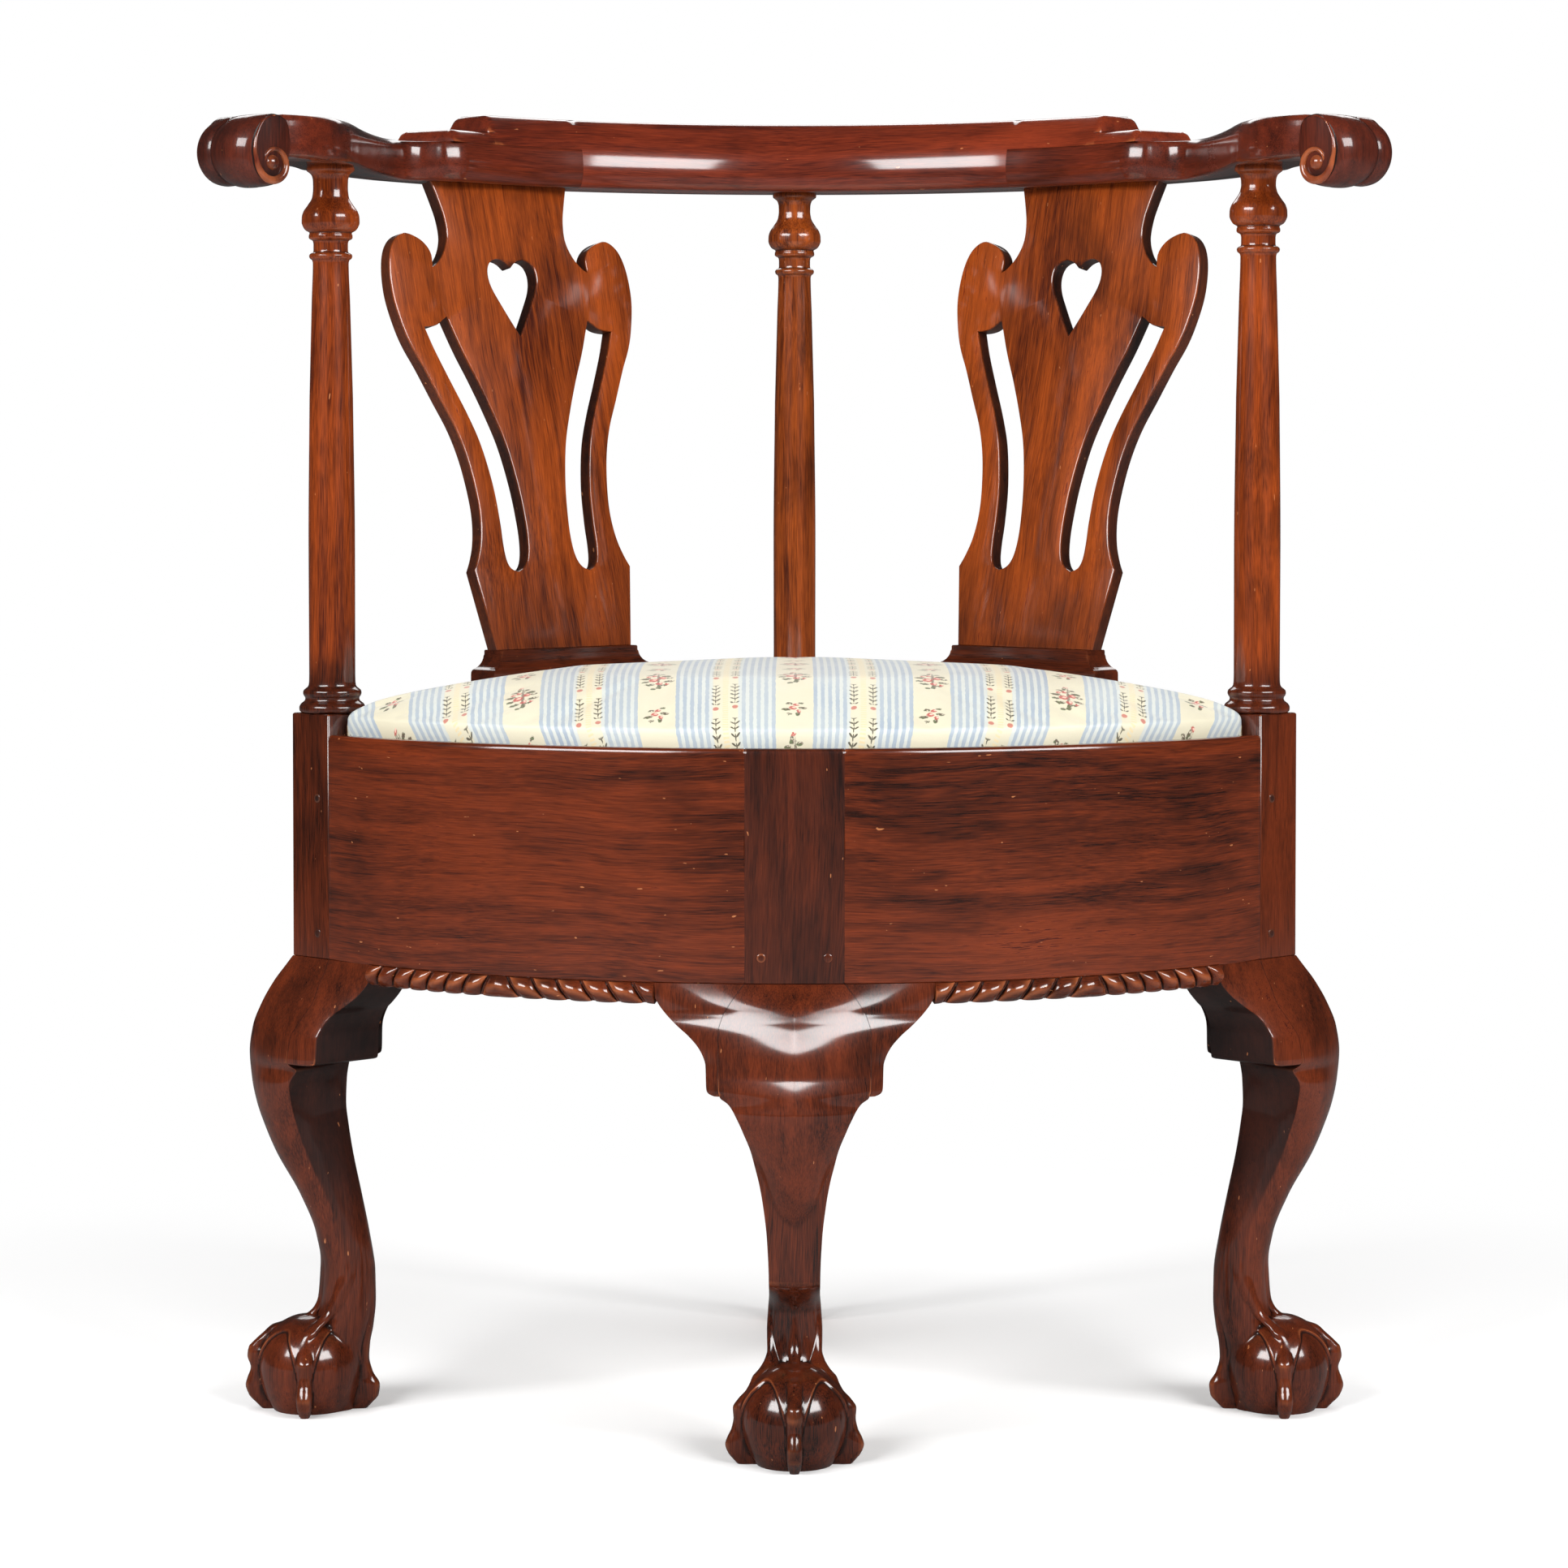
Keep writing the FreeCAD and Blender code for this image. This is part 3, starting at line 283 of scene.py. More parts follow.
def even(line: np.ndarray, count: int) -> np.ndarray:
    """The line again with that many points at equal steps along its length.

    Args:
        line: The line's points.
        count: How many points the new line has.

    Returns:
        The new line's points.
    """
    run = np.concatenate([[0.0], np.cumsum(np.linalg.norm(np.diff(line, axis=0), axis=1))])
    want = np.linspace(0.0, run[-1], count)
    return np.stack([np.interp(want, run, line[:, k]) for k in range(line.shape[1])], axis=1)


def inset(outline: np.ndarray, distance: Any) -> np.ndarray:
    """A closed outline moved inwards: each point goes along the mean normal of its two neighbours.

    Args:
        outline: The closed outline.
        distance: How far inwards, for all points or for each.

    Returns:
        The moved outline.
    """
    first = unit(outline - np.roll(outline, 1, axis=0))
    way = unit(first + unit(np.roll(outline, -1, axis=0) - outline))
    normal = np.stack([-way[:, 1], way[:, 0]], axis=1) * np.sign(signed_area(outline))
    sharp = np.clip(np.sum(first * way, axis=1, keepdims=True), 0.6, 1.0)
    return outline + normal * distance / sharp


def inside(points: np.ndarray, outline: np.ndarray) -> np.ndarray:
    """Which points lie in a closed outline, by counting the sides that a line to the right crosses.

    Args:
        points: Points of the plane.
        outline: The closed outline.

    Returns:
        True for each point inside.
    """
    x, y = points[:, 0:1], points[:, 1:2]
    x0, y0 = outline[:, 0][None], outline[:, 1][None]
    x1, y1 = np.roll(outline[:, 0], -1)[None], np.roll(outline[:, 1], -1)[None]
    spans = (y0 > y) != (y1 > y)
    level = np.where(y1 == y0, 1e-9, y1 - y0)
    return (np.sum(spans & (x < (x1 - x0) * (y - y0) / level + x0), axis=1) % 2) == 1


def filled(outlines: Sequence[np.ndarray]) -> np.ndarray:
    """Triangles, as numbers of points, that fill the first closed outline and leave the others open.

    Args:
        outlines: Closed outlines, the outer one first.

    Returns:
        Three numbers of points in each row.
    """
    points = np.vstack(outlines)
    edges = []
    start = 0
    for line in outlines:
        ring = np.arange(len(line)) + start
        edges += np.stack([ring, np.roll(ring, -1)], axis=1).tolist()
        start += len(line)
    out = delaunay_2d_cdt([Vector(p) for p in points.tolist()], edges, [], 0, 1e-7, True)
    first = np.array([origin[0] if origin else -1 for origin in out[3]])
    faces = first[np.array(list(out[2]))]
    faces = faces[(faces >= 0).all(axis=1)]
    middle = points[faces].mean(axis=1)
    keep = inside(middle, outlines[0])
    for hole in outlines[1:]:
        keep &= ~inside(middle, hole)
    return faces[keep]


def beside(p: np.ndarray | float, q: np.ndarray | float, z: np.ndarray | float) -> np.ndarray:
    """Points given beside the left block: p runs towards the front leg and q towards the rear leg."""
    p, q, z = np.broadcast_arrays(np.asarray(p, float), q, z)
    return np.stack([-PLAN.post_radius + (p + q) / ROOT2, (q - p) / ROOT2, z], axis=-1)


class Shell:
    """Points, faces and grain of one piece, gathered from grids."""

    def __init__(self) -> None:
        """Starts with nothing in it."""
        self.points: list[np.ndarray] = []
        self.grain: list[np.ndarray] = []
        self.stain: list[np.ndarray] = []
        self.quads: list[np.ndarray] = []
        self.tris: list[np.ndarray] = []
        self.count = 0

    def add(self, points: np.ndarray, quads: np.ndarray, tris: np.ndarray, grain: np.ndarray | None = None,
            stain: np.ndarray | float = 0.0) -> None:
        """Adds one closed surface and turns it outwards.

        A surface has a positive volume, summed over its triangles as a third of height times area,
        when its faces point outwards.

        Args:
            points: Its points, one row each.
            quads: Four-sided faces as numbers of points.
            tris: Three-sided faces.
            grain: Along, across and through the wood at each point; the points themselves if left out.
            stain: How dark and unpolished each point is, from 0 to 1.
        """
        parts = np.vstack([tris, quads[:, [0, 1, 2]], quads[:, [0, 2, 3]]])
        a, b, c = (points[parts[:, k]] - points.mean(axis=0) for k in range(3))
        if np.sum(a * np.cross(b, c)) < 0:
            quads, tris = quads[:, ::-1], tris[:, ::-1]
        self.points.append(points)
        self.grain.append(points[:, [2, 0, 1]] if grain is None else grain)
        self.stain.append(np.broadcast_to(stain, len(points)))
        self.quads.append(quads + self.count)
        self.tris.append(tris + self.count)
        self.count += len(points)

    def grid(self, rows: np.ndarray, grain: np.ndarray | None = None,
             stain: np.ndarray | None = None) -> None:
        """Adds closed rows of points. Face (i, j) joins row i to row i + 1 and point j to point j + 1.

        The first and the last row are closed by a fan to their middle.

        Args:
            rows: Points by row, place in the row, and coordinate.
            grain: Wood directions in the same shape, if not the points' own.
            stain: How dark each point is, by row and place.
        """
        count, loop = rows.shape[:2]
        number = np.arange(count * loop).reshape(count, loop)
        step = np.roll(number, -1, axis=1)
        quads = np.stack([number[:-1], step[:-1], step[1:], number[1:]], axis=-1).reshape(-1, 4)
        low = np.stack([np.full(loop, count * loop), step[0], number[0]], axis=1)
        high = np.stack([np.full(loop, count * loop + 1), number[-1], step[-1]], axis=1)

        def with_middles(value: np.ndarray) -> np.ndarray:
            """A value of every point, then its means over the first and the last row."""
            middles = value[[0, -1]].mean(axis=1).reshape(2, -1)
            return np.concatenate([value.reshape(count * loop, -1), middles])

        self.add(with_middles(rows), quads, np.vstack([low, high]),
                 None if grain is None else with_middles(grain),
                 0.0 if stain is None else with_middles(stain[..., None])[:, 0])

    @classmethod
    def of(cls, rows: np.ndarray, grain: np.ndarray | None = None,
           stain: np.ndarray | None = None) -> "Shell":
        """A shell with one grid in it.

        Args:
            rows: As in grid.
            grain: As in grid.
            stain: As in grid.

        Returns:
            The shell.
        """
        shell = cls()
        shell.grid(rows, grain, stain)
        return shell

    def prism(self, loops: Sequence[np.ndarray], place: Callable[[np.ndarray, float], np.ndarray],
              levels: Sequence[tuple[Any, float]], grain: Callable[[np.ndarray, float], np.ndarray],
              stain: Callable[[np.ndarray, float], np.ndarray] | None = None) -> None:
        """Adds a board with rounded edges: outlines drawn in and lifted by the levels, filled at both faces.

        Args:
            loops: Its closed outlines in a plane, the outer one first, then the openings.
            place: Puts plane points at a height into the chair.
            levels: How far the outline is drawn in and its height, from the lower face to the upper.
            grain: The wood directions of plane points at a height.
            stain: How dark plane points are at a height.
        """
        drawn = [[inset(line, draw if k == 0 else -draw) for k, line in enumerate(loops)]
                 for draw, _ in levels]
        planes = [(np.vstack(lines), level) for lines, (_, level) in zip(drawn, levels)]
        total = len(planes[0][0])
        quads = []
        start = 0
        for line in loops:
            ring = np.arange(len(line)) + start
            step = np.roll(ring, -1)
            wall = np.stack([ring, step, step + total, ring + total], axis=1)
            quads += [wall + k * total for k in range(len(levels) - 1)]
            start += len(line)
        sides = np.vstack(quads) if signed_area(loops[0]) > 0 else np.vstack(quads)[:, ::-1]
        low, high = filled(drawn[0]), filled(drawn[-1])
        outer = drawn[0][0]
        sample = low[(low < len(outer)).all(axis=1)][0]
        low, high = (low[:, ::-1], high) if signed_area(outer[sample]) > 0 else (low, high[:, ::-1])
        self.add(np.vstack([place(*plane) for plane in planes]), sides,
                 np.vstack([low, high + total * (len(levels) - 1)]),
                 np.vstack([grain(*plane) for plane in planes]),
                 0.0 if stain is None else np.concatenate([stain(*plane) for plane in planes]))

    def mirrored(self) -> "Shell":
        """The same piece on the other side of the chair's middle line, cut from another stretch of wood.

        Returns:
            The other shell.
        """
        other = Shell()
        other.points = [p * MIRROR for p in self.points]
        other.grain = [g + np.array([731.0, 0.0, 0.0]) for g in self.grain]
        other.stain = list(self.stain)
        other.quads = [q[:, ::-1] for q in self.quads]
        other.tris = [t[:, ::-1] for t in self.tris]
        other.count = self.count
        return other


def relief(mesh: bpy.types.Mesh, passes: int = 2) -> np.ndarray:
    """How convex each point of a mesh is, from -1 in a deep groove to 1 on a sharp arris.

    It is the way from a point to the mean of its neighbours, measured against the normal and divided by
    the mean squared length of its edges, then averaged with the neighbours a few times.

    Args:
        mesh: The finished mesh.
        passes: How often it is averaged.

    Returns:
        A value for each point.
    """
    count = len(mesh.vertices)
    co = read(mesh.vertices, "co") / MM
    normals = read(mesh.vertex_normals, "vector")
    a, b = read(mesh.edges, "vertices", np.int32, 2).T
    run = np.sum((co[b] - co[a]) ** 2, axis=1)
    bend = (np.bincount(a, -np.sum((co[b] - co[a]) * normals[a], axis=1), count)
            + np.bincount(b, -np.sum((co[a] - co[b]) * normals[b], axis=1), count))
    size = np.bincount(a, run, count) + np.bincount(b, run, count)
    value = bend / (size + 1e-6)
    degree = np.bincount(a, minlength=count) + np.bincount(b, minlength=count)
    for _ in range(passes):
        total = np.bincount(a, value[b], count) + np.bincount(b, value[a], count)
        value = 0.5 * value + 0.5 * total / np.maximum(degree, 1)
    return np.tanh(value * 5.0)


class Wire:
    """A value in a shader, so that maths on it can be written as a Python expression."""

    def __init__(self, bench: "Bench", socket: bpy.types.NodeSocket) -> None:
        """Keeps the socket and the bench that it belongs to."""
        self.bench = bench
        self.socket = socket

    def math(self, operation: str, *others: Any) -> "Wire":
        """One Math node on this value and the others."""
        return self.bench.node("ShaderNodeMath", {"operation": operation}, dict(enumerate((self, *others))))

    def __add__(self, other: Any) -> "Wire":
        """Sum."""
        return self.math("ADD", other)

    __radd__ = __add__

    def __sub__(self, other: Any) -> "Wire":
        """Difference."""
        return self.math("SUBTRACT", other)

    def __rsub__(self, other: Any) -> "Wire":
        """Difference from a number."""
        return self.bench.node("ShaderNodeMath", {"operation": "SUBTRACT"}, {0: other, 1: self})

    def __mul__(self, other: Any) -> "Wire":
        """Product."""
        return self.math("MULTIPLY", other)

    __rmul__ = __mul__

    def __truediv__(self, other: Any) -> "Wire":
        """Quotient."""
        return self.math("DIVIDE", other)

    def __pow__(self, other: Any) -> "Wire":
        """Power."""
        return self.math("POWER", other)

    def band(self, low: float, high: float) -> "Wire":
        """A smooth step from 0 at low to 1 at high, or down again if high is the smaller.

        Args:
            low: Where the step begins.
            high: Where it ends.

        Returns:
            The step.
        """
        first, second, flip = (low, high, False) if high > low else (high, low, True)
        out = self.bench.node("ShaderNodeMapRange", {"interpolation_type": "SMOOTHSTEP"},
                              {0: self, 1: first, 2: second})
        return 1 - out if flip else out

    def cycle(self, period: float) -> "Wire":
        """The distance from the middle of the period that the value lies in."""
        return self.math("MODULO", period) - period / 2


class Bench:
    """A material's or world's node tree, and the one way of adding a node to it."""

    def __init__(self, owner: bpy.types.Material | bpy.types.World) -> None:
        """Empties the owner's tree.

        Args:
            owner: The material or world to build.
        """
        self.owner = owner
        owner.use_nodes = True
        self.tree = owner.node_tree
        self.tree.nodes.clear()

    def node(self, kind: str, settings: dict[str, Any] | None = None, sockets: dict[Any, Any] | None = None,
             output: int | str = 0) -> Wire:
        """Adds a node.

        Args:
            kind: Its type.
            settings: What is set first, such as an operation, or a ramp's stops as (place, colour).
            sockets: Values or links of its inputs, by name or number.
            output: Which output is wanted.

        Returns:
            The output as a value for further maths.
        """
        made = self.tree.nodes.new(kind)
        for key, value in (settings or {}).items():
            if key == "stops":
                ramp = made.color_ramp
                for place, colour in value[2:]:
                    ramp.elements.new(place)
                for element, (place, colour) in zip(ramp.elements, value):
                    element.position = place
                    element.color = colour
            else:
                setattr(made, key, value)
        for key, value in (sockets or {}).items():
            if isinstance(value, Wire):
                self.tree.links.new(value.socket, made.inputs[key])
            else:
                made.inputs[key].default_value = value
        return Wire(self, made.outputs[output])

    def mix(self, factor: Any, first: Any, second: Any, blend: str = "MIX") -> Wire:
        """A colour between two, or the second laid on the first in a blend mode."""
        return self.node("ShaderNodeMix", {"data_type": "RGBA", "blend_type": blend},
                         {0: factor, 6: first, 7: second}, 2)

    def noise(self, vector: Wire, scale: float, detail: float = 3.0, rough: float = 0.5,
              twist: float = 0.0) -> Wire:
        """Noise between 0 and 1."""
        return self.node("ShaderNodeTexNoise", None, {"Vector": vector, "Scale": scale, "Detail": detail,
                                                      "Roughness": rough, "Distortion": twist})

    def stretched(self, vector: Wire, scale: Sequence[float],
                  turn: Sequence[float] = (0.0, 0.0, 0.0)) -> Wire:
        """The vector with each part scaled."""
        return self.node("ShaderNodeMapping", None, {"Vector": vector, "Scale": scale, "Rotation": turn})

    def streaky(self, vector: Wire, along: float, across: float, detail: float, rough: float,
                twist: float = 0.0) -> Wire:
        """Noise with one scale along the wood and another across it."""
        return self.noise(self.stretched(vector, (along, across, across)), 1.0, detail, rough, twist)

    def attribute(self, name: str, output: str = "Fac") -> Wire:
        """What the mesh carries under a name at each point."""
        return self.node("ShaderNodeAttribute", {"attribute_name": name}, None, output)

    def place(self) -> Wire:
        """The point in the object's own metres."""
        return self.node("ShaderNodeTexCoord", None, None, "Object")

    def plane(self, vector: Wire) -> tuple[Wire, Wire]:
        """The first two parts of a vector."""
        parts = self.node("ShaderNodeSeparateXYZ", None, {0: vector})
        return parts, Wire(self, parts.socket.node.outputs[1])

    def finish(self, shader: dict[str, Any], bump: Wire, depth: float) -> bpy.types.Material:
        """Closes the material with the main shader's sockets and a bump of that many metres."""
        normal = self.node("ShaderNodeBump", None, {"Strength": 1.0, "Distance": depth, "Height": bump})
        return self.closed(self.node("ShaderNodeBsdfPrincipled", None, {**shader, "Normal": normal}))

    def closed(self, surface: Wire, kind: str = "ShaderNodeOutputMaterial") -> Any:
        """Links a shader to the output of the tree's owner.

        Args:
            surface: The shader.
            kind: The output node's type.

        Returns:
            The owner.
        """
        out = self.tree.nodes.new(kind)
        self.tree.links.new(surface.socket, out.inputs[0])
        return self.owner


def tint(red: float, green: float, blue: float) -> tuple[float, float, float, float]:
    """A screen colour from 0 to 255 as scene-linear values, by the sRGB curve.

    Args:
        red: The red part.
        green: The green part.
        blue: The blue part.

    Returns:
        The colour, opaque.
    """
    values = (c / 255 for c in (red, green, blue))
    line = [c / 12.92 if c <= 0.04045 else ((c + 0.055) / 1.055) ** 2.4 for c in values]
    return (line[0], line[1], line[2], 1.0)


@dataclass(frozen=True)
class Walnut:
    """Old polished walnut: long streaks, broad figure, fine pores, arrises lightened partly by wear and
    partly as a painted highlight, and dark grooves.
    """

    name: str
    shades: tuple[Shade, Shade, Shade]
    streak: float = 1.0
    flame: float = 0.35
    smoke: float = 0.75
    gloss: float = 0.36
    wear_and_highlight: float = 0.6
    groove_dark: float = 0.85
    own_grain: bool = True
    warm: tuple[Shade, ...] = ()

    def material(self) -> bpy.types.Material:
        """Builds the finish. A stain under 0 turns the wood to its warm shades, if it has any.

        Returns:
            The finish.
        """
        bench = Bench(bpy.data.materials.new(self.name))
        arris, depth, dark_tone, chip = tint(178, 98, 56), tint(14, 7, 5), tint(25, 17, 16), tint(190, 120, 74)
        wood = (bench.attribute("grain", "Vector") if self.own_grain
                else bench.stretched(bench.place(), (1.0, 1.0, 1.0), (0.0, math.pi / 2, 0.0)))
        sway = bench.node("ShaderNodeTexNoise", None, {"Vector": wood, "Scale": 8.0, "Detail": 1.0}, "Color")
        bend = self.flame * 0.03
        warp = bench.node("ShaderNodeVectorMath", {"operation": "MULTIPLY_ADD"},
                          {0: sway, 1: (0.0, bend, bend), 2: wood})
        broad = bench.streaky(wood, 5.0, 17.0, 3.0, 0.55, 0.9)
        streaks = bench.streaky(warp, 6.0, 190.0, 4.0, 0.7)
        pores = bench.streaky(warp, 55.0, 1500.0, 2.0, 0.6)
        haze = bench.noise(wood, 46.0, 2.0, 0.6)
        figure = (streaks - 0.5) * (0.95 * self.streak) + (broad - 0.5) * 1.0 + (pores - 0.5) * 0.8 + 0.5

        def figured(shades: Sequence[Shade]) -> Wire:
            """The figure in a dark, a middle and a light shade."""
            low, mean, high = (tint(*shade) for shade in shades)
            stops = [(0.2, low), (0.8, high), (0.5, mean)]
            return bench.node("ShaderNodeValToRGB", {"stops": stops}, {0: figure})

        colour = figured(self.shades)
        stain = bench.attribute("stain")
        if self.warm:
            colour = bench.mix(stain.band(-0.05, -0.95), colour, figured(self.warm))
        smoke = bench.streaky(warp, 9.0, 26.0, 4.0, 0.66, 0.5).band(0.48, 0.74)
        colour = bench.mix(smoke * self.smoke, colour, tint(*(c * 0.62 for c in self.shades[0])))
        carved = bench.attribute("relief")
        # Convex arrises turn a light orange: partly real wear, partly a painted highlight along the edges.
        wear_and_highlight = carved.band(0.2, 0.75) * haze.band(0.3, 0.6) * self.wear_and_highlight
        # Grooves and hollows are mixed towards a near-black colour, rougher and with less coat.
        groove = carved.band(-0.06, -0.5) * self.groove_dark
        # Points whose stain is above 0 are mixed towards a dark colour, rougher and with less coat.
        darkening = stain.math("MAXIMUM", 0.0) * (haze * 0.4 + 0.7)
        nick = bench.streaky(wood, 150.0, 420.0, 1.0, 0.5).band(0.78, 0.8)
        for share, shade in ((wear_and_highlight, arris), (groove, depth), (darkening, dark_tone), (nick * 0.6, chip)):
            colour = bench.mix(share, colour, shade)
        rough = self.gloss + (haze - 0.5) * 0.14 + groove * 0.3 + darkening * 0.25
        coat = 1.0 - groove * 0.6 - darkening * 0.7
        return bench.finish({"Base Color": colour, "Roughness": rough, "Specular IOR Level": 0.1,
                             "Coat Weight": coat, "Coat Roughness": 0.12, "Coat IOR": 1.55},
                            pores * 0.35 + haze * 0.65 - nick * 0.5, 0.00012)


@dataclass(frozen=True)
class PlainWood:
    """Unpolished secondary wood inside the seat, with its growth lines and some dust."""

    name: str

    def material(self) -> bpy.types.Material:
        """Builds the finish.

        Returns:
            The finish.
        """
        bench = Bench(bpy.data.materials.new(self.name))
        place = bench.place()
        lines = bench.noise(bench.stretched(place, (60.0, 60.0, 7.0)), 1.0, 5.0, 0.6, 0.4)
        colour = bench.node("ShaderNodeValToRGB", {"stops": [
            (0.3, tint(120, 84, 52)), (0.7, tint(176, 137, 92))]}, {0: lines})
        return bench.finish({"Base Color": colour, "Roughness": 0.7 + (lines - 0.5) * 0.2, "IOR": 1.45},
                            lines, 0.0002)


@dataclass(frozen=True)
class Linen:
    """A plain woven cloth: crossed threads of one pitch in two tints."""

    name: str
    pitch: float
    light: Shade
    dark: Shade

    def material(self) -> bpy.types.Material:
        """Builds the finish. The height is the product of two sines across the threads.

        Returns:
            The finish.
        """
        bench = Bench(bpy.data.materials.new(self.name))
        place = bench.place()
        x, y = bench.plane(place)
        turn = 2 * math.pi / (self.pitch * MM)
        weave = (x * turn).math("SINE") * (y * turn).math("SINE") * 0.5 + 0.5
        dirt = bench.noise(place, 30.0, 4.0, 0.6)
        colour = bench.mix(weave * 0.5 + dirt * 0.5, tint(*self.dark), tint(*self.light))
        return bench.finish({"Base Color": colour, "Roughness": 0.9}, weave, 0.0003)


@dataclass(frozen=True)
class StripedSilk:
    """Cream satin with blue stripes, posies on one cream band and leafy vines on the other."""

    name: str = "striped_silk"
    period: float = 80.4
    posy_half: float = 11.0
    blue_width: float = 21.7
    line_pitch: float = 4.34
    rib_pitch: float = 1.3
    repeat: float = 92.0
    vine_at: float = 5.6
    leaf_pitch: float = 5.4
    spray_pitch: float = 43.2
    rung_pitch: float = 2.5

    @staticmethod
    def spot(x: Wire, y: Wire, at: tuple[float, float], size: tuple[float, float]) -> Wire:
        """A soft-edged oval: 1 within an ellipse about a point, falling to 0 outside it."""
        wide, tall = (x - at[0]) / size[0], (y - at[1]) / size[1]
        return (wide * wide + tall * tall).band(1.35, 0.65)

    def material(self) -> bpy.types.Material:
        """Builds the finish from the cushion's own map, whose unit is a metre of cloth.

        Returns:
            The finish.
        """
        bench = Bench(bpy.data.materials.new(self.name))
        cream, straw, thread = tint(208, 204, 182), tint(200, 193, 168), tint(214, 200, 168)
        pale_blue, line_blue = tint(192, 196, 190), tint(134, 150, 170)
        cloth = bench.node("ShaderNodeUVMap", {"uv_map": "cloth"}, None, 0)
        weave = bench.noise(bench.stretched(cloth, (1500.0, 3200.0, 1.0)), 1.0, 1.0, 0.5)
        drift = bench.noise(cloth, 19.0, 2.0, 0.6)
        wander = bench.noise(cloth, 300.0, 1.0, 0.5)
        x, y = bench.plane(cloth)
        across = x / MM + (wander - 0.5) * 1.0
        along = y / MM + (wander - 0.5) * 1.0 + (drift - 0.5) * 2.5
        place = (across + self.period * 20.5).cycle(self.period)
        edge = place.math("ABSOLUTE")
        vine_edge = self.posy_half + self.blue_width
        blue = (edge.band(self.posy_half - 0.2, self.posy_half + 0.2)
                * edge.band(vine_edge + 0.2, vine_edge - 0.2))
        line = ((edge - self.posy_half) / self.line_pitch).math("FRACT").band(0.56, 0.48) * blue
        rib = (across * (2 * math.pi / self.rib_pitch)).math("SINE") * 0.5 + 0.5
        colour = bench.mix(rib * (1 - blue) * 0.18, bench.mix(drift, cream, straw), thread)
        colour = bench.mix(blue, colour, pale_blue)
        colour = bench.mix(line * (0.6 + (drift - 0.5) * 0.8), colour, line_blue)
        for draw in (self.posies, self.vines):
            colour = draw(bench, colour, place, along)
        soft = 0.46 + (weave - 0.5) * 0.2
        return bench.finish({"Base Color": colour, "Roughness": soft, "Sheen Weight": 0.2,
                             "Sheen Roughness": 0.4, "Specular IOR Level": 0.5},
                            weave + wander * 0.6, 0.00012)

    def posies(self, bench: Bench, colour: Wire, place: Wire, along: Wire) -> Wire:
        """Lays the posies on the middle cream band: a large one and half a repeat on a small one.

        Each mark is (across, along) from the large posy's middle, then its half sizes.

        Args:
            bench: The finish's bench.
            colour: The silk so far.
            place: Way across from the middle of the cream band.
            along: Way along the stripes.

        Returns:
            The silk with posies.
        """
        leaf, stem, rose, heart = tint(74, 94, 52), tint(70, 48, 36), tint(172, 66, 62), tint(240, 196, 178)
        leaves = (((-6.6, 2.4), (3.4, 1.5)), ((6.6, -3.6), (3.2, 1.5)), ((-4.6, -8.0), (3.0, 1.6)),
                  ((5.2, 6.4), (2.8, 1.8)), ((7.2, 2.6), (2.3, 1.2)), ((-7.0, -3.4), (2.3, 1.3)),
                  ((1.0, -12.0), (1.4, 3.0)), ((-1.6, 13.4), (1.3, 2.6)), ((3.2, 11.4), (1.9, 1.2)),
                  ((-4.2, 9.6), (2.0, 1.3)), ((-2.4, -14.6), (1.8, 1.1)), ((3.6, -9.4), (2.2, 1.1)),
                  ((-4.8, 41.2), (2.6, 1.3)), ((4.6, 44.6), (2.4, 1.5)), ((1.8, 37.6), (1.2, 2.4)),
                  ((-3.0, -43.6), (2.0, 1.5)), ((3.6, -41.6), (1.7, 1.1)), ((-3.2, 36.8), (1.6, 1.1)))
        blooms = ((-2.4, -1.0, 2.8), (3.0, 2.8, 2.3), (1.2, -6.6, 2.1), (-1.8, 7.4, 1.7), (-1.2, 43.6, 2.1),
                  (2.4, 40.6, 1.6), (0.8, -44.2, 1.5), (-0.6, 17.0, 1.3), (-5.2, 5.8, 1.4), (5.4, -7.6, 1.3))
        y = (along + self.repeat * 20.3).cycle(self.repeat)
        spread = bench.noise(bench.node("ShaderNodeCombineXYZ", None, {0: place, 1: along}), 0.5, 2.0, 0.65)
        x = place + (spread - 0.5) * 3.4
        y = y + (spread - 0.5) * 3.4
        marks = [self.spot(x, y, at, size) for at, size in leaves]
        total = marks[0]
        for mark in marks[1:]:
            total = total.math("MAXIMUM", mark)
        colour = bench.mix(self.spot(x, y, (0.6, 1.0), (0.8, 14.0)) * 0.75, colour, stem)
        ragged = spread.band(0.36, 0.44) * 0.9
        colour = bench.mix(total * ragged, colour, bench.mix(spread.band(0.5, 0.56), stem, leaf))
        for over, up, size in blooms:
            colour = bench.mix(self.spot(x, y, (over, up), (size, size)) * 0.92, colour, rose)
            centre = self.spot(x, y, (over + 0.6, up + 0.5), (size * 0.45, size * 0.45))
            colour = bench.mix(centre * 0.85, colour, heart)
        return colour

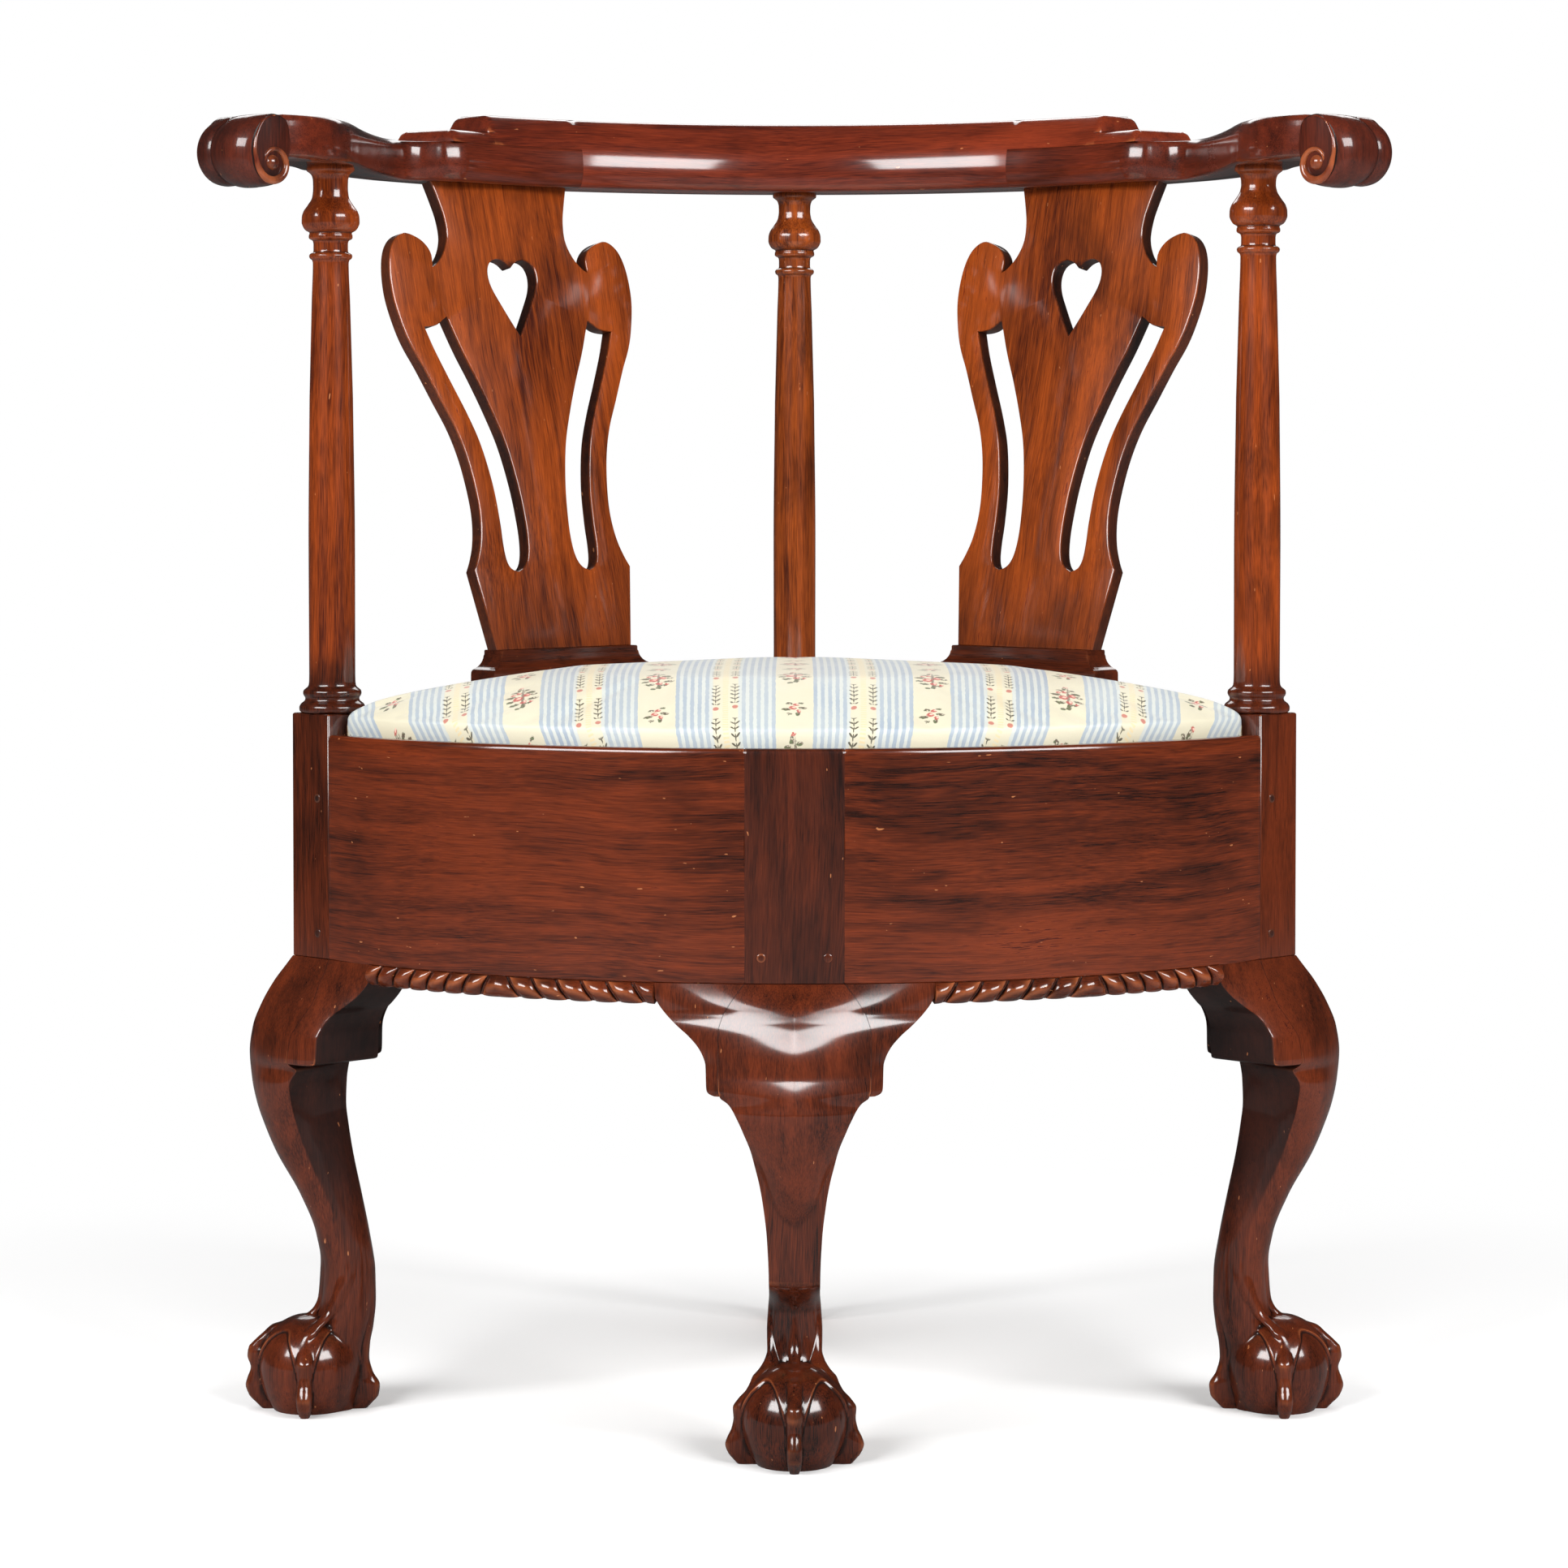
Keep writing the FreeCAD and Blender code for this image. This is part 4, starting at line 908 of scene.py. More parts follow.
    def vines(self, bench: Bench, colour: Wire, place: Wire, along: Wire) -> Wire:
        """Lays two leafy vines and the pale ladder between them on the narrow cream band.

        Args:
            bench: The finish's bench.
            colour: The silk so far.
            place: Way across from the middle of the posies' band.
            along: Way along the stripes.

        Returns:
            The silk with vines.
        """
        leaf, bud, straw = tint(62, 56, 40), tint(178, 96, 84), tint(216, 194, 146)
        along = along + 6000.0
        x = self.period / 2 - place.math("ABSOLUTE")
        column = x - self.vine_at
        far = column.math("ABSOLUTE")
        y = along.cycle(self.leaf_pitch)
        pair = self.spot(far, y - far * 0.9, (1.5, 0.0), (1.15, 0.85))
        stem = self.spot(column, y, (0.0, 0.0), (0.4, 2.4))
        spray = along.math("MODULO", self.spray_pitch)
        shown = spray.band(8.5, 9.5) * spray.band(36.5, 35.5)
        colour = bench.mix(pair.math("MAXIMUM", stem) * shown * 0.92, colour, leaf)
        colour = bench.mix(self.spot(column, spray - 4.4, (0.0, 0.0), (1.7, 1.9)) * 0.85, colour, bud)
        rung = along.cycle(self.rung_pitch).math("ABSOLUTE").band(0.8, 0.5)
        return bench.mix(x.band(1.9, 1.5) * rung * 0.7, colour, straw)


class Workshop:
    """Turns shells into finished pieces that ride on the frame's bodies."""

    def __init__(self) -> None:
        """Loads the frame and mixes the finishes."""
        self.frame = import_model()
        self.bounds_at_start = [list(corner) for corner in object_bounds()]
        self.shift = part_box("rear_leg")[1].y / MM - (PLAN.post_radius + PLAN.corner)
        LOG.info("plan moved by %.3f mm", self.shift)
        self.rail_wood = Walnut("walnut_rail", ((34.0, 11.0, 5.0), (63.0, 20.0, 9.0), (112.0, 44.0, 16.0)),
                                streak=0.9, flame=0.4, smoke=0.45).material()
        self.leg_wood = Walnut("walnut_leg", ((30.0, 10.0, 5.0), (60.0, 20.0, 9.0), (102.0, 41.0, 17.0)),
                               streak=0.7, flame=0.4, smoke=0.5, gloss=0.33,
                               warm=((62.0, 19.0, 5.0), (112.0, 39.0, 11.0), (158.0, 68.0, 20.0))).material()
        self.post_wood = Walnut("walnut_post", ((68.0, 24.0, 6.0), (120.0, 47.0, 13.0), (174.0, 82.0, 26.0)),
                                streak=0.9, flame=0.2, smoke=0.5, wear_and_highlight=0.5).material()
        self.splat_wood = Walnut("walnut_splat",
                                 ((60.0, 19.0, 7.0), (108.0, 38.0, 12.0), (164.0, 74.0, 22.0)),
                                 streak=0.9, flame=0.5, smoke=0.5, gloss=0.4, groove_dark=0.7).material()
        self.crest_wood = Walnut("walnut_crest",
                                 ((60.0, 19.0, 11.0), (98.0, 32.0, 17.0), (128.0, 48.0, 24.0)),
                                 streak=0.7, flame=0.3, smoke=0.4, gloss=0.34, wear_and_highlight=0.5, groove_dark=0.9).material()
        self.arm_wood = Walnut("walnut_arm", ((40.0, 13.0, 8.0), (80.0, 26.0, 14.0), (112.0, 42.0, 22.0)),
                               streak=0.7, flame=0.3, smoke=0.4, gloss=0.34, wear_and_highlight=0.5, groove_dark=0.9).material()
        self.hidden_walnut = Walnut("walnut_inside",
                                    ((70.0, 34.0, 22.0), (112.0, 62.0, 40.0), (146.0, 88.0, 58.0)),
                                    gloss=0.55, own_grain=False).material()
        self.secondary = PlainWood("secondary_wood").material()
        self.silk = StripedSilk().material()
        self.web = Linen("webbing_jute", 2.2, (176.0, 150.0, 108.0), (120.0, 96.0, 62.0)).material()
        self.canvas = Linen("canvas_linen", 1.2, (196.0, 184.0, 156.0), (150.0, 136.0, 108.0)).material()

    def piece(self, name: str, shell: Shell, body: str, material: bpy.types.Material, slot: str,
              stands_for: Sequence[str], sharp: float = 42.0) -> bpy.types.Object:
        """Writes a shell into a mesh and hangs it on a body.

        Args:
            name: The piece's name.
            shell: Its surface in millimetres of the chair's plan.
            body: The body that it rides on.
            material: Its finish.
            slot: Not used.
            stands_for: The frame nodes that it replaces.
            sharp: Faces that meet at more degrees than this keep a hard edge.

        Returns:
            The finished object.
        """
        points = np.vstack(shell.points) + np.array([0.0, self.shift, 0.0])
        faces = np.vstack(shell.quads).tolist() + np.vstack(shell.tris).tolist()
        mesh = bpy.data.meshes.new(name)
        mesh.from_pydata((points * MM).tolist(), [], faces)
        mesh.update()
        mesh.polygons.foreach_set("use_smooth", np.ones(len(mesh.polygons), bool))
        mesh.set_sharp_from_angle(angle=math.radians(sharp))
        for key, kind, part, values in (
                ("grain", "FLOAT_VECTOR", "vector", np.vstack(shell.grain) * MM),
                ("stain", "FLOAT", "value", np.concatenate(shell.stain)),
                ("relief", "FLOAT", "value", relief(mesh))):
            attribute = mesh.attributes.new(key, kind, "POINT")
            attribute.data.foreach_set(part, values.astype(np.float32).ravel())
        mesh.materials.append(material)
        made = bpy.data.objects.new(name, mesh)
        bpy.context.scene.collection.objects.link(made)
        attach(made, body)
        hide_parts(*stands_for)
        LOG.info("%s: %d points", name, len(points))
        return made

    def walnut(self, name: str, shell: Shell, material: bpy.types.Material, *stands_for: str) -> None:
        """Makes a walnut piece of the chair's body."""
        self.piece(name, shell, "chair", material, "walnut", stands_for)

    def pair(self, name: str, shell: Shell, material: bpy.types.Material) -> None:
        """Makes a walnut piece for the left and its mirror image for the right."""
        for side, surface in (("left", shell), ("right", shell.mirrored())):
            self.walnut(f"{name}_{side}_carved", surface, material, f"{name}_{side}")


@dataclass(frozen=True)
class Foot:
    """A claw clutching a ball: four bony toes over a sphere, under a skin that ends in arches."""

    radius: float = 31.0
    height: float = 25.0
    out: float = 15.0
    settled: float = 0.86
    skin: float = 1.5
    top: float = 84.0
    front_toe: Table = ((0.0, 44.5), (3.0, 47.5), (8.0, 52.2), (14.3, 54.3), (18.0, 53.4), (25.0, 51.2),
                        (32.0, 53.2), (37.3, 52.3), (40.0, 50.0), (46.0, 43.5), (51.0, 37.5), (52.5, 31.0),
                        (55.0, 22.5), (58.4, 16.0), (62.0, 12.6), (66.7, 10.4), (72.0, 9.6), (84.0, 8.7),
                        (104.0, 7.0))
    rear_toe: Table = ((0.0, 34.5), (3.0, 37.5), (8.0, 41.6), (14.0, 42.4), (22.0, 38.2), (31.0, 36.0),
                       (40.0, 36.6), (50.0, 38.5), (62.0, 39.6), (84.0, 38.5), (104.0, 33.0))
    side_toe: Table = ((0.0, 33.0), (2.7, 35.5), (6.0, 38.2), (11.0, 40.0), (15.0, 38.8), (20.0, 36.4),
                       (26.0, 35.2), (31.7, 35.6), (37.0, 32.4), (42.0, 27.6), (45.5, 25.8), (49.0, 24.4),
                       (53.0, 20.4), (57.0, 17.6), (62.0, 16.0), (72.0, 16.0), (84.0, 15.2), (104.0, 13.0))
    toe_half: Table = ((0.0, 3.2), (3.0, 4.4), (8.0, 5.4), (13.0, 5.6), (20.0, 4.9), (26.0, 5.1),
                       (33.0, 5.9), (40.0, 5.1), (45.0, 4.9), (50.0, 5.8), (56.0, 5.2), (66.0, 5.2),
                       (84.0, 6.0), (104.0, 6.5))
    middle: Table = ((0.0, 15.0), (44.0, 15.0), (50.0, 12.0), (56.0, 5.0), (62.0, 0.0), (72.0, -5.0),
                     (84.0, -8.6), (106.0, -5.4))

    def loops(self, z: np.ndarray, turn: np.ndarray, outer: np.ndarray, inner: np.ndarray,
              width: np.ndarray) -> np.ndarray:
        """The foot's sections at heights z, as (across, outward) points at the turns.

        Each section is a distance from its middle. It is the soft maximum of the ankle's ellipse, the
        ball's circle with its skin, and one round ridge for each toe, so all of them flow together.

        Args:
            z: Heights.
            turn: Turns about the section's middle.
            outer: The ankle's outer side at each height.
            inner: Its inner side.
            width: Its half width.

        Returns:
            Points by height and turn.
        """
        turn = turn[None, :]
        level = z[:, None]
        centre = eased(self.middle, z)[:, None]
        cosine, sine = np.cos(turn), np.sin(turn)

        def ray_to_ellipse(at: np.ndarray, deep: np.ndarray, wide: np.ndarray) -> np.ndarray:
            """Distance along each turn to an ellipse about the point `at` on the outward line."""
            a = cosine ** 2 / deep ** 2 + sine ** 2 / wide ** 2
            b = (centre - at) * cosine / deep ** 2
            k = ((centre - at) / deep) ** 2 - 1
            root = np.maximum(b * b - a * k, 0.0)
            return np.where(b * b - a * k > 0, (-b + np.sqrt(root)) / a, 0.0)

        ankle = ray_to_ellipse(((outer + inner) / 2)[:, None], ((outer - inner) / 2)[:, None], width[:, None])
        side = eased(self.side_toe, z)[:, None]
        toes = ((0.0, eased(self.front_toe, z)[:, None] - centre), (math.pi / 2, side), (-math.pi / 2, side),
                (math.pi, eased(self.rear_toe, z)[:, None] - self.out + centre))
        apart = np.degrees(np.abs((turn + math.pi / 4) % (math.pi / 2) - math.pi / 4))
        arch = 14.0 + 35.5 * np.sqrt(np.clip(1 - ((45.0 - apart) / 38.0) ** 2, 0.0, 1.0))
        covered = 1 / (1 + np.exp(-(level - arch) / 0.45))
        cover = self.radius + self.skin * covered
        fall = (level - self.height) * np.where(level < self.height, self.settled, 1.0)
        deep = np.sqrt(np.maximum(cover ** 2 - fall ** 2, 0.01))
        ball = ray_to_ellipse(np.full_like(centre, self.out), deep, deep) * ramp(deep, 2.0, 6.0)
        body = soft_max(ankle, ball, 2.6)
        half = eased(self.toe_half, z)[:, None]
        for at, crest in toes:
            aside = np.abs(crest * np.sin(turn - at))
            drop = half * (1 - np.sqrt(np.clip(1 - (aside / half) ** 2, 0.0, 1.0)))
            steep = np.maximum(aside - half * 0.97, 0.0) * 9.0
            ridge = np.where(np.cos(turn - at) > 0.2, crest - drop - steep, 0.0)
            body = soft_max(body, ridge, 1.0 + 1.2 * ramp(level, 54.0, 12.0))
        return np.stack([body * sine, centre + body * cosine], axis=-1)


def soft_max(first: np.ndarray, second: np.ndarray, blend: float) -> np.ndarray:
    """The larger of two, rounded where they cross: half their sum plus half the root of gap squared."""
    return 0.5 * (first + second + np.sqrt((first - second) ** 2 + blend ** 2)) - blend * 0.12


@dataclass(frozen=True)
class Cabriole:
    """A leg's curve from the claw foot to the rails, with the knee that its two brackets carry on.

    A section is drawn in the leg's own directions: across it and outward from the block's axis.
    """

    outer: Table = ((0.0, 14.0), (38.0, 14.0), (52.0, 12.5), (62.0, 9.5), (72.0, 8.2), (84.0, 7.8),
                    (106.0, 10.8), (130.0, 20.2), (156.0, 34.7), (172.0, 41.5), (186.0, 46.3), (200.0, 49.2),
                    (217.0, 50.6), (232.0, 48.6), (246.0, 43.2), (260.0, 35.2), (268.0, 29.2), (274.5, 24.32))
    inner: Table = ((0.0, -12.0), (38.0, -18.0), (52.0, -22.0), (62.0, -24.2), (72.0, -24.8), (84.0, -25.0),
                    (106.0, -21.5), (130.0, -16.8), (156.0, -11.5), (172.0, -9.0), (186.0, -7.5),
                    (200.0, -8.0), (217.0, -11.0), (232.0, -15.0), (246.0, -19.0), (260.0, -22.5),
                    (274.5, -24.32))
    width: Table = ((0.0, 12.0), (52.0, 15.0), (70.0, 15.2), (84.0, 14.6), (106.0, 14.7), (130.0, 15.8),
                    (150.0, 18.0), (161.0, 20.0), (172.0, 22.2), (181.0, 25.0), (190.0, 28.2), (199.0, 31.8))
    spread: Table = ((0.0, 2.0), (120.0, 2.0), (160.0, 1.9), (190.0, 1.6), (205.0, 1.4), (217.0, 1.36),
                     (246.0, 1.26), (274.5, 1.02))
    fall: Table = ((0.0, 0.5), (120.0, 0.5), (160.0, 0.54), (190.0, 0.66), (205.0, 0.82), (217.0, 0.86),
                   (246.0, 0.9), (274.5, 1.0))
    edge: Sequence[tuple[float, float, float]] = (
        (209.4, 12.0, 20.0), (212.2, 21.0, 20.6), (214.6, 28.2, 21.0), (217.0, 28.8, 21.0),
        (229.5, 29.2, 20.0), (236.0, 30.6, 17.0), (242.7, 34.6, 13.6), (249.4, 42.8, 9.4),
        (256.0, 50.0, 5.4), (262.5, 55.0, 2.6), (268.0, 57.0, 1.0), (274.5, 57.5, 0.0))
    seam: Table = ((199.0, 31.8), (205.0, 33.4), (212.0, 34.5), (247.0, 34.5), (260.0, 30.0), (274.5, 24.32))
    straight: bool = False
    shift: float = 0.0
    shoulder: float = 0.0
    arris_out: Table = ((0.0, 0.0), (90.0, 0.0), (150.0, 3.0), (199.0, 3.0))
    flank: float = 1.06
    crown: float = 217.0
    back: float = 28.0
    ledge: float = 213.2
    foot: Foot = Foot()

    def reach(self, z: np.ndarray) -> tuple[np.ndarray, np.ndarray]:
        """Where the carved face ends at each height, across and outward, on leg or bracket.

        Under the brackets it is the leg's own half width about its middle. Above, it is the bracket's
        sawn edge: a distance along the rail and a swell off its face, turned into the leg's directions.

        Args:
            z: Heights.

        Returns:
            Both distances at each height.
        """
        heights = np.array([h for h, _ in self.width])
        middle = (eased(self.outer, heights) + eased(self.inner, heights)) / 2
        middle = middle + eased(self.arris_out, heights)
        knots = [(h, w, m) for (h, w), m in zip(self.width, middle)]
        for h, along, swell in self.edge:
            if self.straight:
                knots.append((h, along, PLAN.corner + swell))
            else:
                out = PLAN.half + swell
                knots.append((h, (along + out) / ROOT2, (out - along) / ROOT2))
        table = np.array(knots)
        return eased(table[:, [0, 1]], z), eased(table[:, [0, 2]], z)

    def face(self, z: np.ndarray, share: np.ndarray, first: np.ndarray, last: np.ndarray) -> np.ndarray:
        """Points on the carved face between two distances across, from the ridge at 0 to the far edge.

        Across and outward parts are powers of sine and cosine: an ellipse on the ankle, a soft ridge with
        slopes that end in a crisp edge on the knee, and straight lines at the rail. A face with a shoulder
        keeps the knee's full height up to the rail and is then cut back by the slope under it, so that
        the round line between the two runs from the ridge out to the brackets' tips.

        Args:
            z: Heights.
            share: Each point's share of the way between the two distances.
            first: The distance across where the points begin, at each height.
            last: The distance where they end.

        Returns:
            Points by height and share.
        """
        wide, base = (value[:, None] for value in self.reach(z))
        top = eased(self.outer, z)[:, None]
        above = (z > self.crown)[:, None] & (self.shoulder > 0)
        peak = np.where(above, eased(self.outer, np.array([self.crown])), top)
        spread, fall = eased(self.spread, z)[:, None], eased(self.fall, z)[:, None]
        angle = [np.arcsin(np.clip(np.abs(end[:, None]) / wide, 0, 1) ** (spread / 2))
                 for end in (first, last)]
        turn = angle[0] + (angle[1] - angle[0]) * share[None, :]
        across = wide * np.sin(turn) ** (2 / spread)
        outward = base + (peak - base) * np.clip(np.cos(turn), 0, 1) ** (2 * fall)
        if self.shoulder > 0:
            slope = top - 0.14 * across * ramp(top, PLAN.corner, 12.0)
            round_off = self.shoulder * np.clip((PLAN.rail_bottom - z[:, None]) / 20.0, 0.02, 1.0)
            cut = -soft_max(-outward, -slope, round_off)
            outward = outward + (cut - outward) * ramp(z[:, None], self.crown - 14.0, 20.0)
            outward = np.maximum(outward, PLAN.corner)
        return np.stack([across, outward], axis=-1)

    def loops(self, z: np.ndarray, count: int) -> np.ndarray:
        """Closed sections of the leg, as (across, outward) points by height and place.

        Args:
            z: Heights.
            count: Points in a section.

        Returns:
            The sections.
        """
        quarter = count // 4
        under = tuple(knot for knot in self.width if 0 < knot[0] < self.seam[0][0])
        wide, _ = self.reach(z)
        seam = np.minimum(eased(((0.0, 12.0), *under, *self.seam), z), wide)
        right = self.face(z, np.linspace(0.0, 1.0, quarter + 1), np.zeros_like(z), seam)
        low = eased(self.inner, z)[:, None]
        flat = ramp(z[:, None], 120.0, 60.0)
        power = 2.0 * (1 - flat) + self.flank * flat
        if self.straight:
            power = power + 5.0 * ramp(z[:, None], 205.0, 60.0)
        turn = (np.linspace(0.0, 1.0, quarter + 1) * math.pi / 2)[None, 1:]
        edge = right[:, -1:, :]
        behind = np.stack([edge[..., 0] * np.clip(np.cos(turn), 0, 1) ** (2 / power),
                           edge[..., 1] + (low - edge[..., 1]) * np.sin(turn) ** (2 / power)], axis=-1)
        side = np.concatenate([right, behind], axis=1)
        return np.concatenate([side, side[:, -2:0:-1] * MIRROR[:2]], axis=1)

    @staticmethod
    def darkening(z: np.ndarray, count: int) -> np.ndarray:
        """How dark the leg is: its two inner flanks, from the ankle up to the brackets.

        Args:
            z: Heights.
            count: Points in a section.

        Returns:
            The stain by height and place.
        """
        place = np.abs((np.arange(count) + count / 2) % count - count / 2) / (count / 4)
        flank = ramp(place, 1.01, 0.06)[None, :]
        return flank * np.clip((z - 95.0) / 60.0, 0.0, 0.85)[:, None]

    def rows(self, count: int = 256) -> tuple[np.ndarray, np.ndarray]:
        """All sections from the floor to the rails, and their heights.

        Args:
            count: Points in a section.

        Returns:
            Sections as (across, outward) points, and heights.
        """
        z = stations((0.0, 62.0, 84), (62.0, 110.0, 28), (110.0, 199.0, 34), (199.0, 222.0, 24),
                     (222.0, PLAN.rail_bottom, 30))
        leg = self.loops(z, count)
        paw = self.foot.loops(z, turns(count), eased(self.outer, z), eased(self.inner, z),
                              eased(self.width, z))
        blend = ramp(z, self.foot.top, 22.0)[:, None, None]
        blend = blend * blend * (3 - 2 * blend)
        section = paw * (1 - blend) + leg * blend
        section[..., 1] += self.shift * (1 - z[:, None] / PLAN.rail_bottom)
        return section, z

    def bracket(self, count: int = 26) -> np.ndarray:
        """One bracket's closed sections from its ledge to the rail, as (across, outward, height).

        Args:
            count: Points across its face.

        Returns:
            Points by height and place.
        """
        z = stations((self.ledge, 218.0, 14), (218.0, PLAN.rail_bottom, 40))
        wide, _ = self.reach(z)
        seam = np.minimum(eased(self.seam, z), wide - 0.5)
        share = np.concatenate([[0.0], np.linspace(0.012, 0.985, count - 2), [1.0]])
        front = self.face(z, share, seam + 0.12, wide)
        front[..., 1] += self.shift * (1 - z[:, None] / PLAN.rail_bottom)
        end = front[:, -1]
        if self.straight:
            way = np.array([0.0, -1.0])
            depth = end[:, 1] - PLAN.corner + self.back
        else:
            way = np.array([-1.0, -1.0]) / ROOT2
            depth = (end[:, 0] + end[:, 1]) / ROOT2 - PLAN.half + self.back
        behind = end + way * depth[:, None]
        inner = front[:, 0] + way * (depth * 0.8)[:, None]
        sawn = end + (behind - end) * 0.03
        back = np.stack([sawn, behind, (behind + inner) / 2, inner], axis=1)
        loop = np.concatenate([front, back], axis=1)
        height = np.broadcast_to(z[:, None, None], (len(z), loop.shape[1], 1))
        return np.concatenate([loop, height], axis=-1)


@dataclass(frozen=True)
class FrontCabriole(Cabriole):
    """The front leg's curve: it carries wider brackets on a flat face."""

    width: Table = ((0.0, 12.0), (52.0, 15.0), (70.0, 15.2), (84.0, 14.6), (106.0, 14.7), (130.0, 15.8),
                    (150.0, 18.2), (161.0, 20.2), (172.0, 23.0), (181.0, 25.4), (190.0, 28.8), (199.0, 32.6))
    edge: Sequence[tuple[float, float, float]] = (
        (207.0, 37.4, 10.5), (210.6, 42.8, 9.4), (212.8, 48.6, 8.6), (214.6, 50.0, 8.5),
        (217.0, 50.3, 8.5), (229.0, 50.7, 8.4), (233.5, 52.0, 8.3), (238.7, 54.8, 8.2), (245.0, 60.4, 8.0),
        (250.6, 67.0, 8.0), (257.5, 74.0, 7.8), (263.5, 78.4, 7.0), (267.0, 80.0, 5.8), (270.5, 80.3, 3.6),
        (274.5, 80.4, 0.0))
    spread: Table = ((0.0, 2.0), (120.0, 2.0), (150.0, 1.8), (175.0, 1.5), (199.0, 1.2), (217.0, 1.04),
                     (246.0, 0.86), (274.5, 0.8))
    fall: Table = ((0.0, 0.5), (120.0, 0.5), (150.0, 0.58), (175.0, 0.76), (199.0, 0.95), (217.0, 1.0),
                   (274.5, 1.0))
    seam: Table = ((199.0, 32.6), (205.0, 37.0), (211.0, 42.4), (216.0, 43.4), (247.0, 43.4), (256.0, 41.0),
                   (264.0, 36.5), (274.5, 28.5))
    straight: bool = True
    shift: float = 9.0
    shoulder: float = 13.0
    arris_out: Table = ((0.0, 0.0), (130.0, 0.0), (150.0, 1.0), (172.0, 5.5), (190.0, 13.0), (199.0, 16.0))
    flank: float = 1.25
    ledge: float = 211.6


@dataclass(frozen=True)
class Post:
    """A turned post: radii by height above its block, and by depth below the arm."""

    foot: Table = ((0.0, 17.0), (0.5, 18.8), (1.6, 19.7), (3.2, 19.8), (5.2, 19.0), (6.6, 17.4), (7.4, 16.5),
                   (8.6, 16.2), (9.4, 16.4), (10.4, 17.1), (11.8, 17.5), (13.2, 17.3), (14.4, 16.2),
                   (15.4, 14.9), (16.6, 14.2), (19.0, 13.9), (24.0, 13.8), (99.0, 13.9), (189.0, 13.0))
    head: Table = ((0.0, 14.0), (1.4, 14.4), (2.8, 14.2), (3.8, 12.9), (5.4, 11.3), (8.5, 10.5), (12.0, 10.4),
                   (16.5, 11.0), (21.5, 13.8), (25.0, 16.2), (28.5, 17.2), (31.5, 17.3), (34.5, 16.3),
                   (36.6, 14.6), (37.4, 12.9), (38.2, 12.6), (39.0, 13.0), (40.6, 13.1), (41.6, 12.4),
                   (42.4, 10.8), (44.5, 10.3), (48.0, 10.3), (49.6, 10.6), (50.2, 12.2), (51.6, 12.9),
                   (53.2, 12.4), (54.0, 11.2), (56.0, 10.7), (78.5, 11.4))
    reach: float = 78.5

    def rows(self, drop: float) -> np.ndarray:
        """Closed rings of the post about its axis, its ball and rings lowered by the drop.

        Args:
            drop: How much lower they sit.

        Returns:
            Points by height, place and coordinate.
        """
        low = stations((0.0, 24.0, 61), (24.0, 189.0, 20))
        deep = stations((self.reach, 58.0, 6), (58.0, 0.0, 117))
        lower = ramp(deep, 8.0, 8.0) * ramp(deep, self.reach, -20.0) * drop
        z = np.concatenate([PLAN.block_top + low, PLAN.arm_under - deep - lower])
        return lathed(np.concatenate([eased(self.foot, low), eased(self.head, deep)]), z)


def square_rows(high: float = PLAN.block_top, arris: float = 1.1) -> np.ndarray:
    """A leg's square block, a corner towards each side, with rounded upright edges and an eased top.

    The section is a square whose corners are quarter circles, drawn in near the top.

    Args:
        high: The block's top.
        arris: The radius of its edges.

    Returns:
        Points by height and place.
    """
    half, low = PLAN.half, PLAN.rail_bottom
    loop = []
    for k, (sx, sy) in enumerate(((1, 1), (-1, 1), (-1, -1), (1, -1))):
        angle = np.linspace(0.0, math.pi / 2, 5) + k * math.pi / 2
        x, y = sx * (half - arris) + arris * np.cos(angle), sy * (half - arris) + arris * np.sin(angle)
        loop.append(np.stack([(x - y) / ROOT2, (x + y) / ROOT2], axis=1))
    line = np.vstack(loop)
    levels = ((low, 0.5), (low + 0.5, 0.0), (high - 1.0, 0.0), (high - 0.3, 0.4), (high, 1.1))
    return np.stack([np.column_stack([line * (1 - draw / half), np.full(len(line), z)])
                     for z, draw in levels])


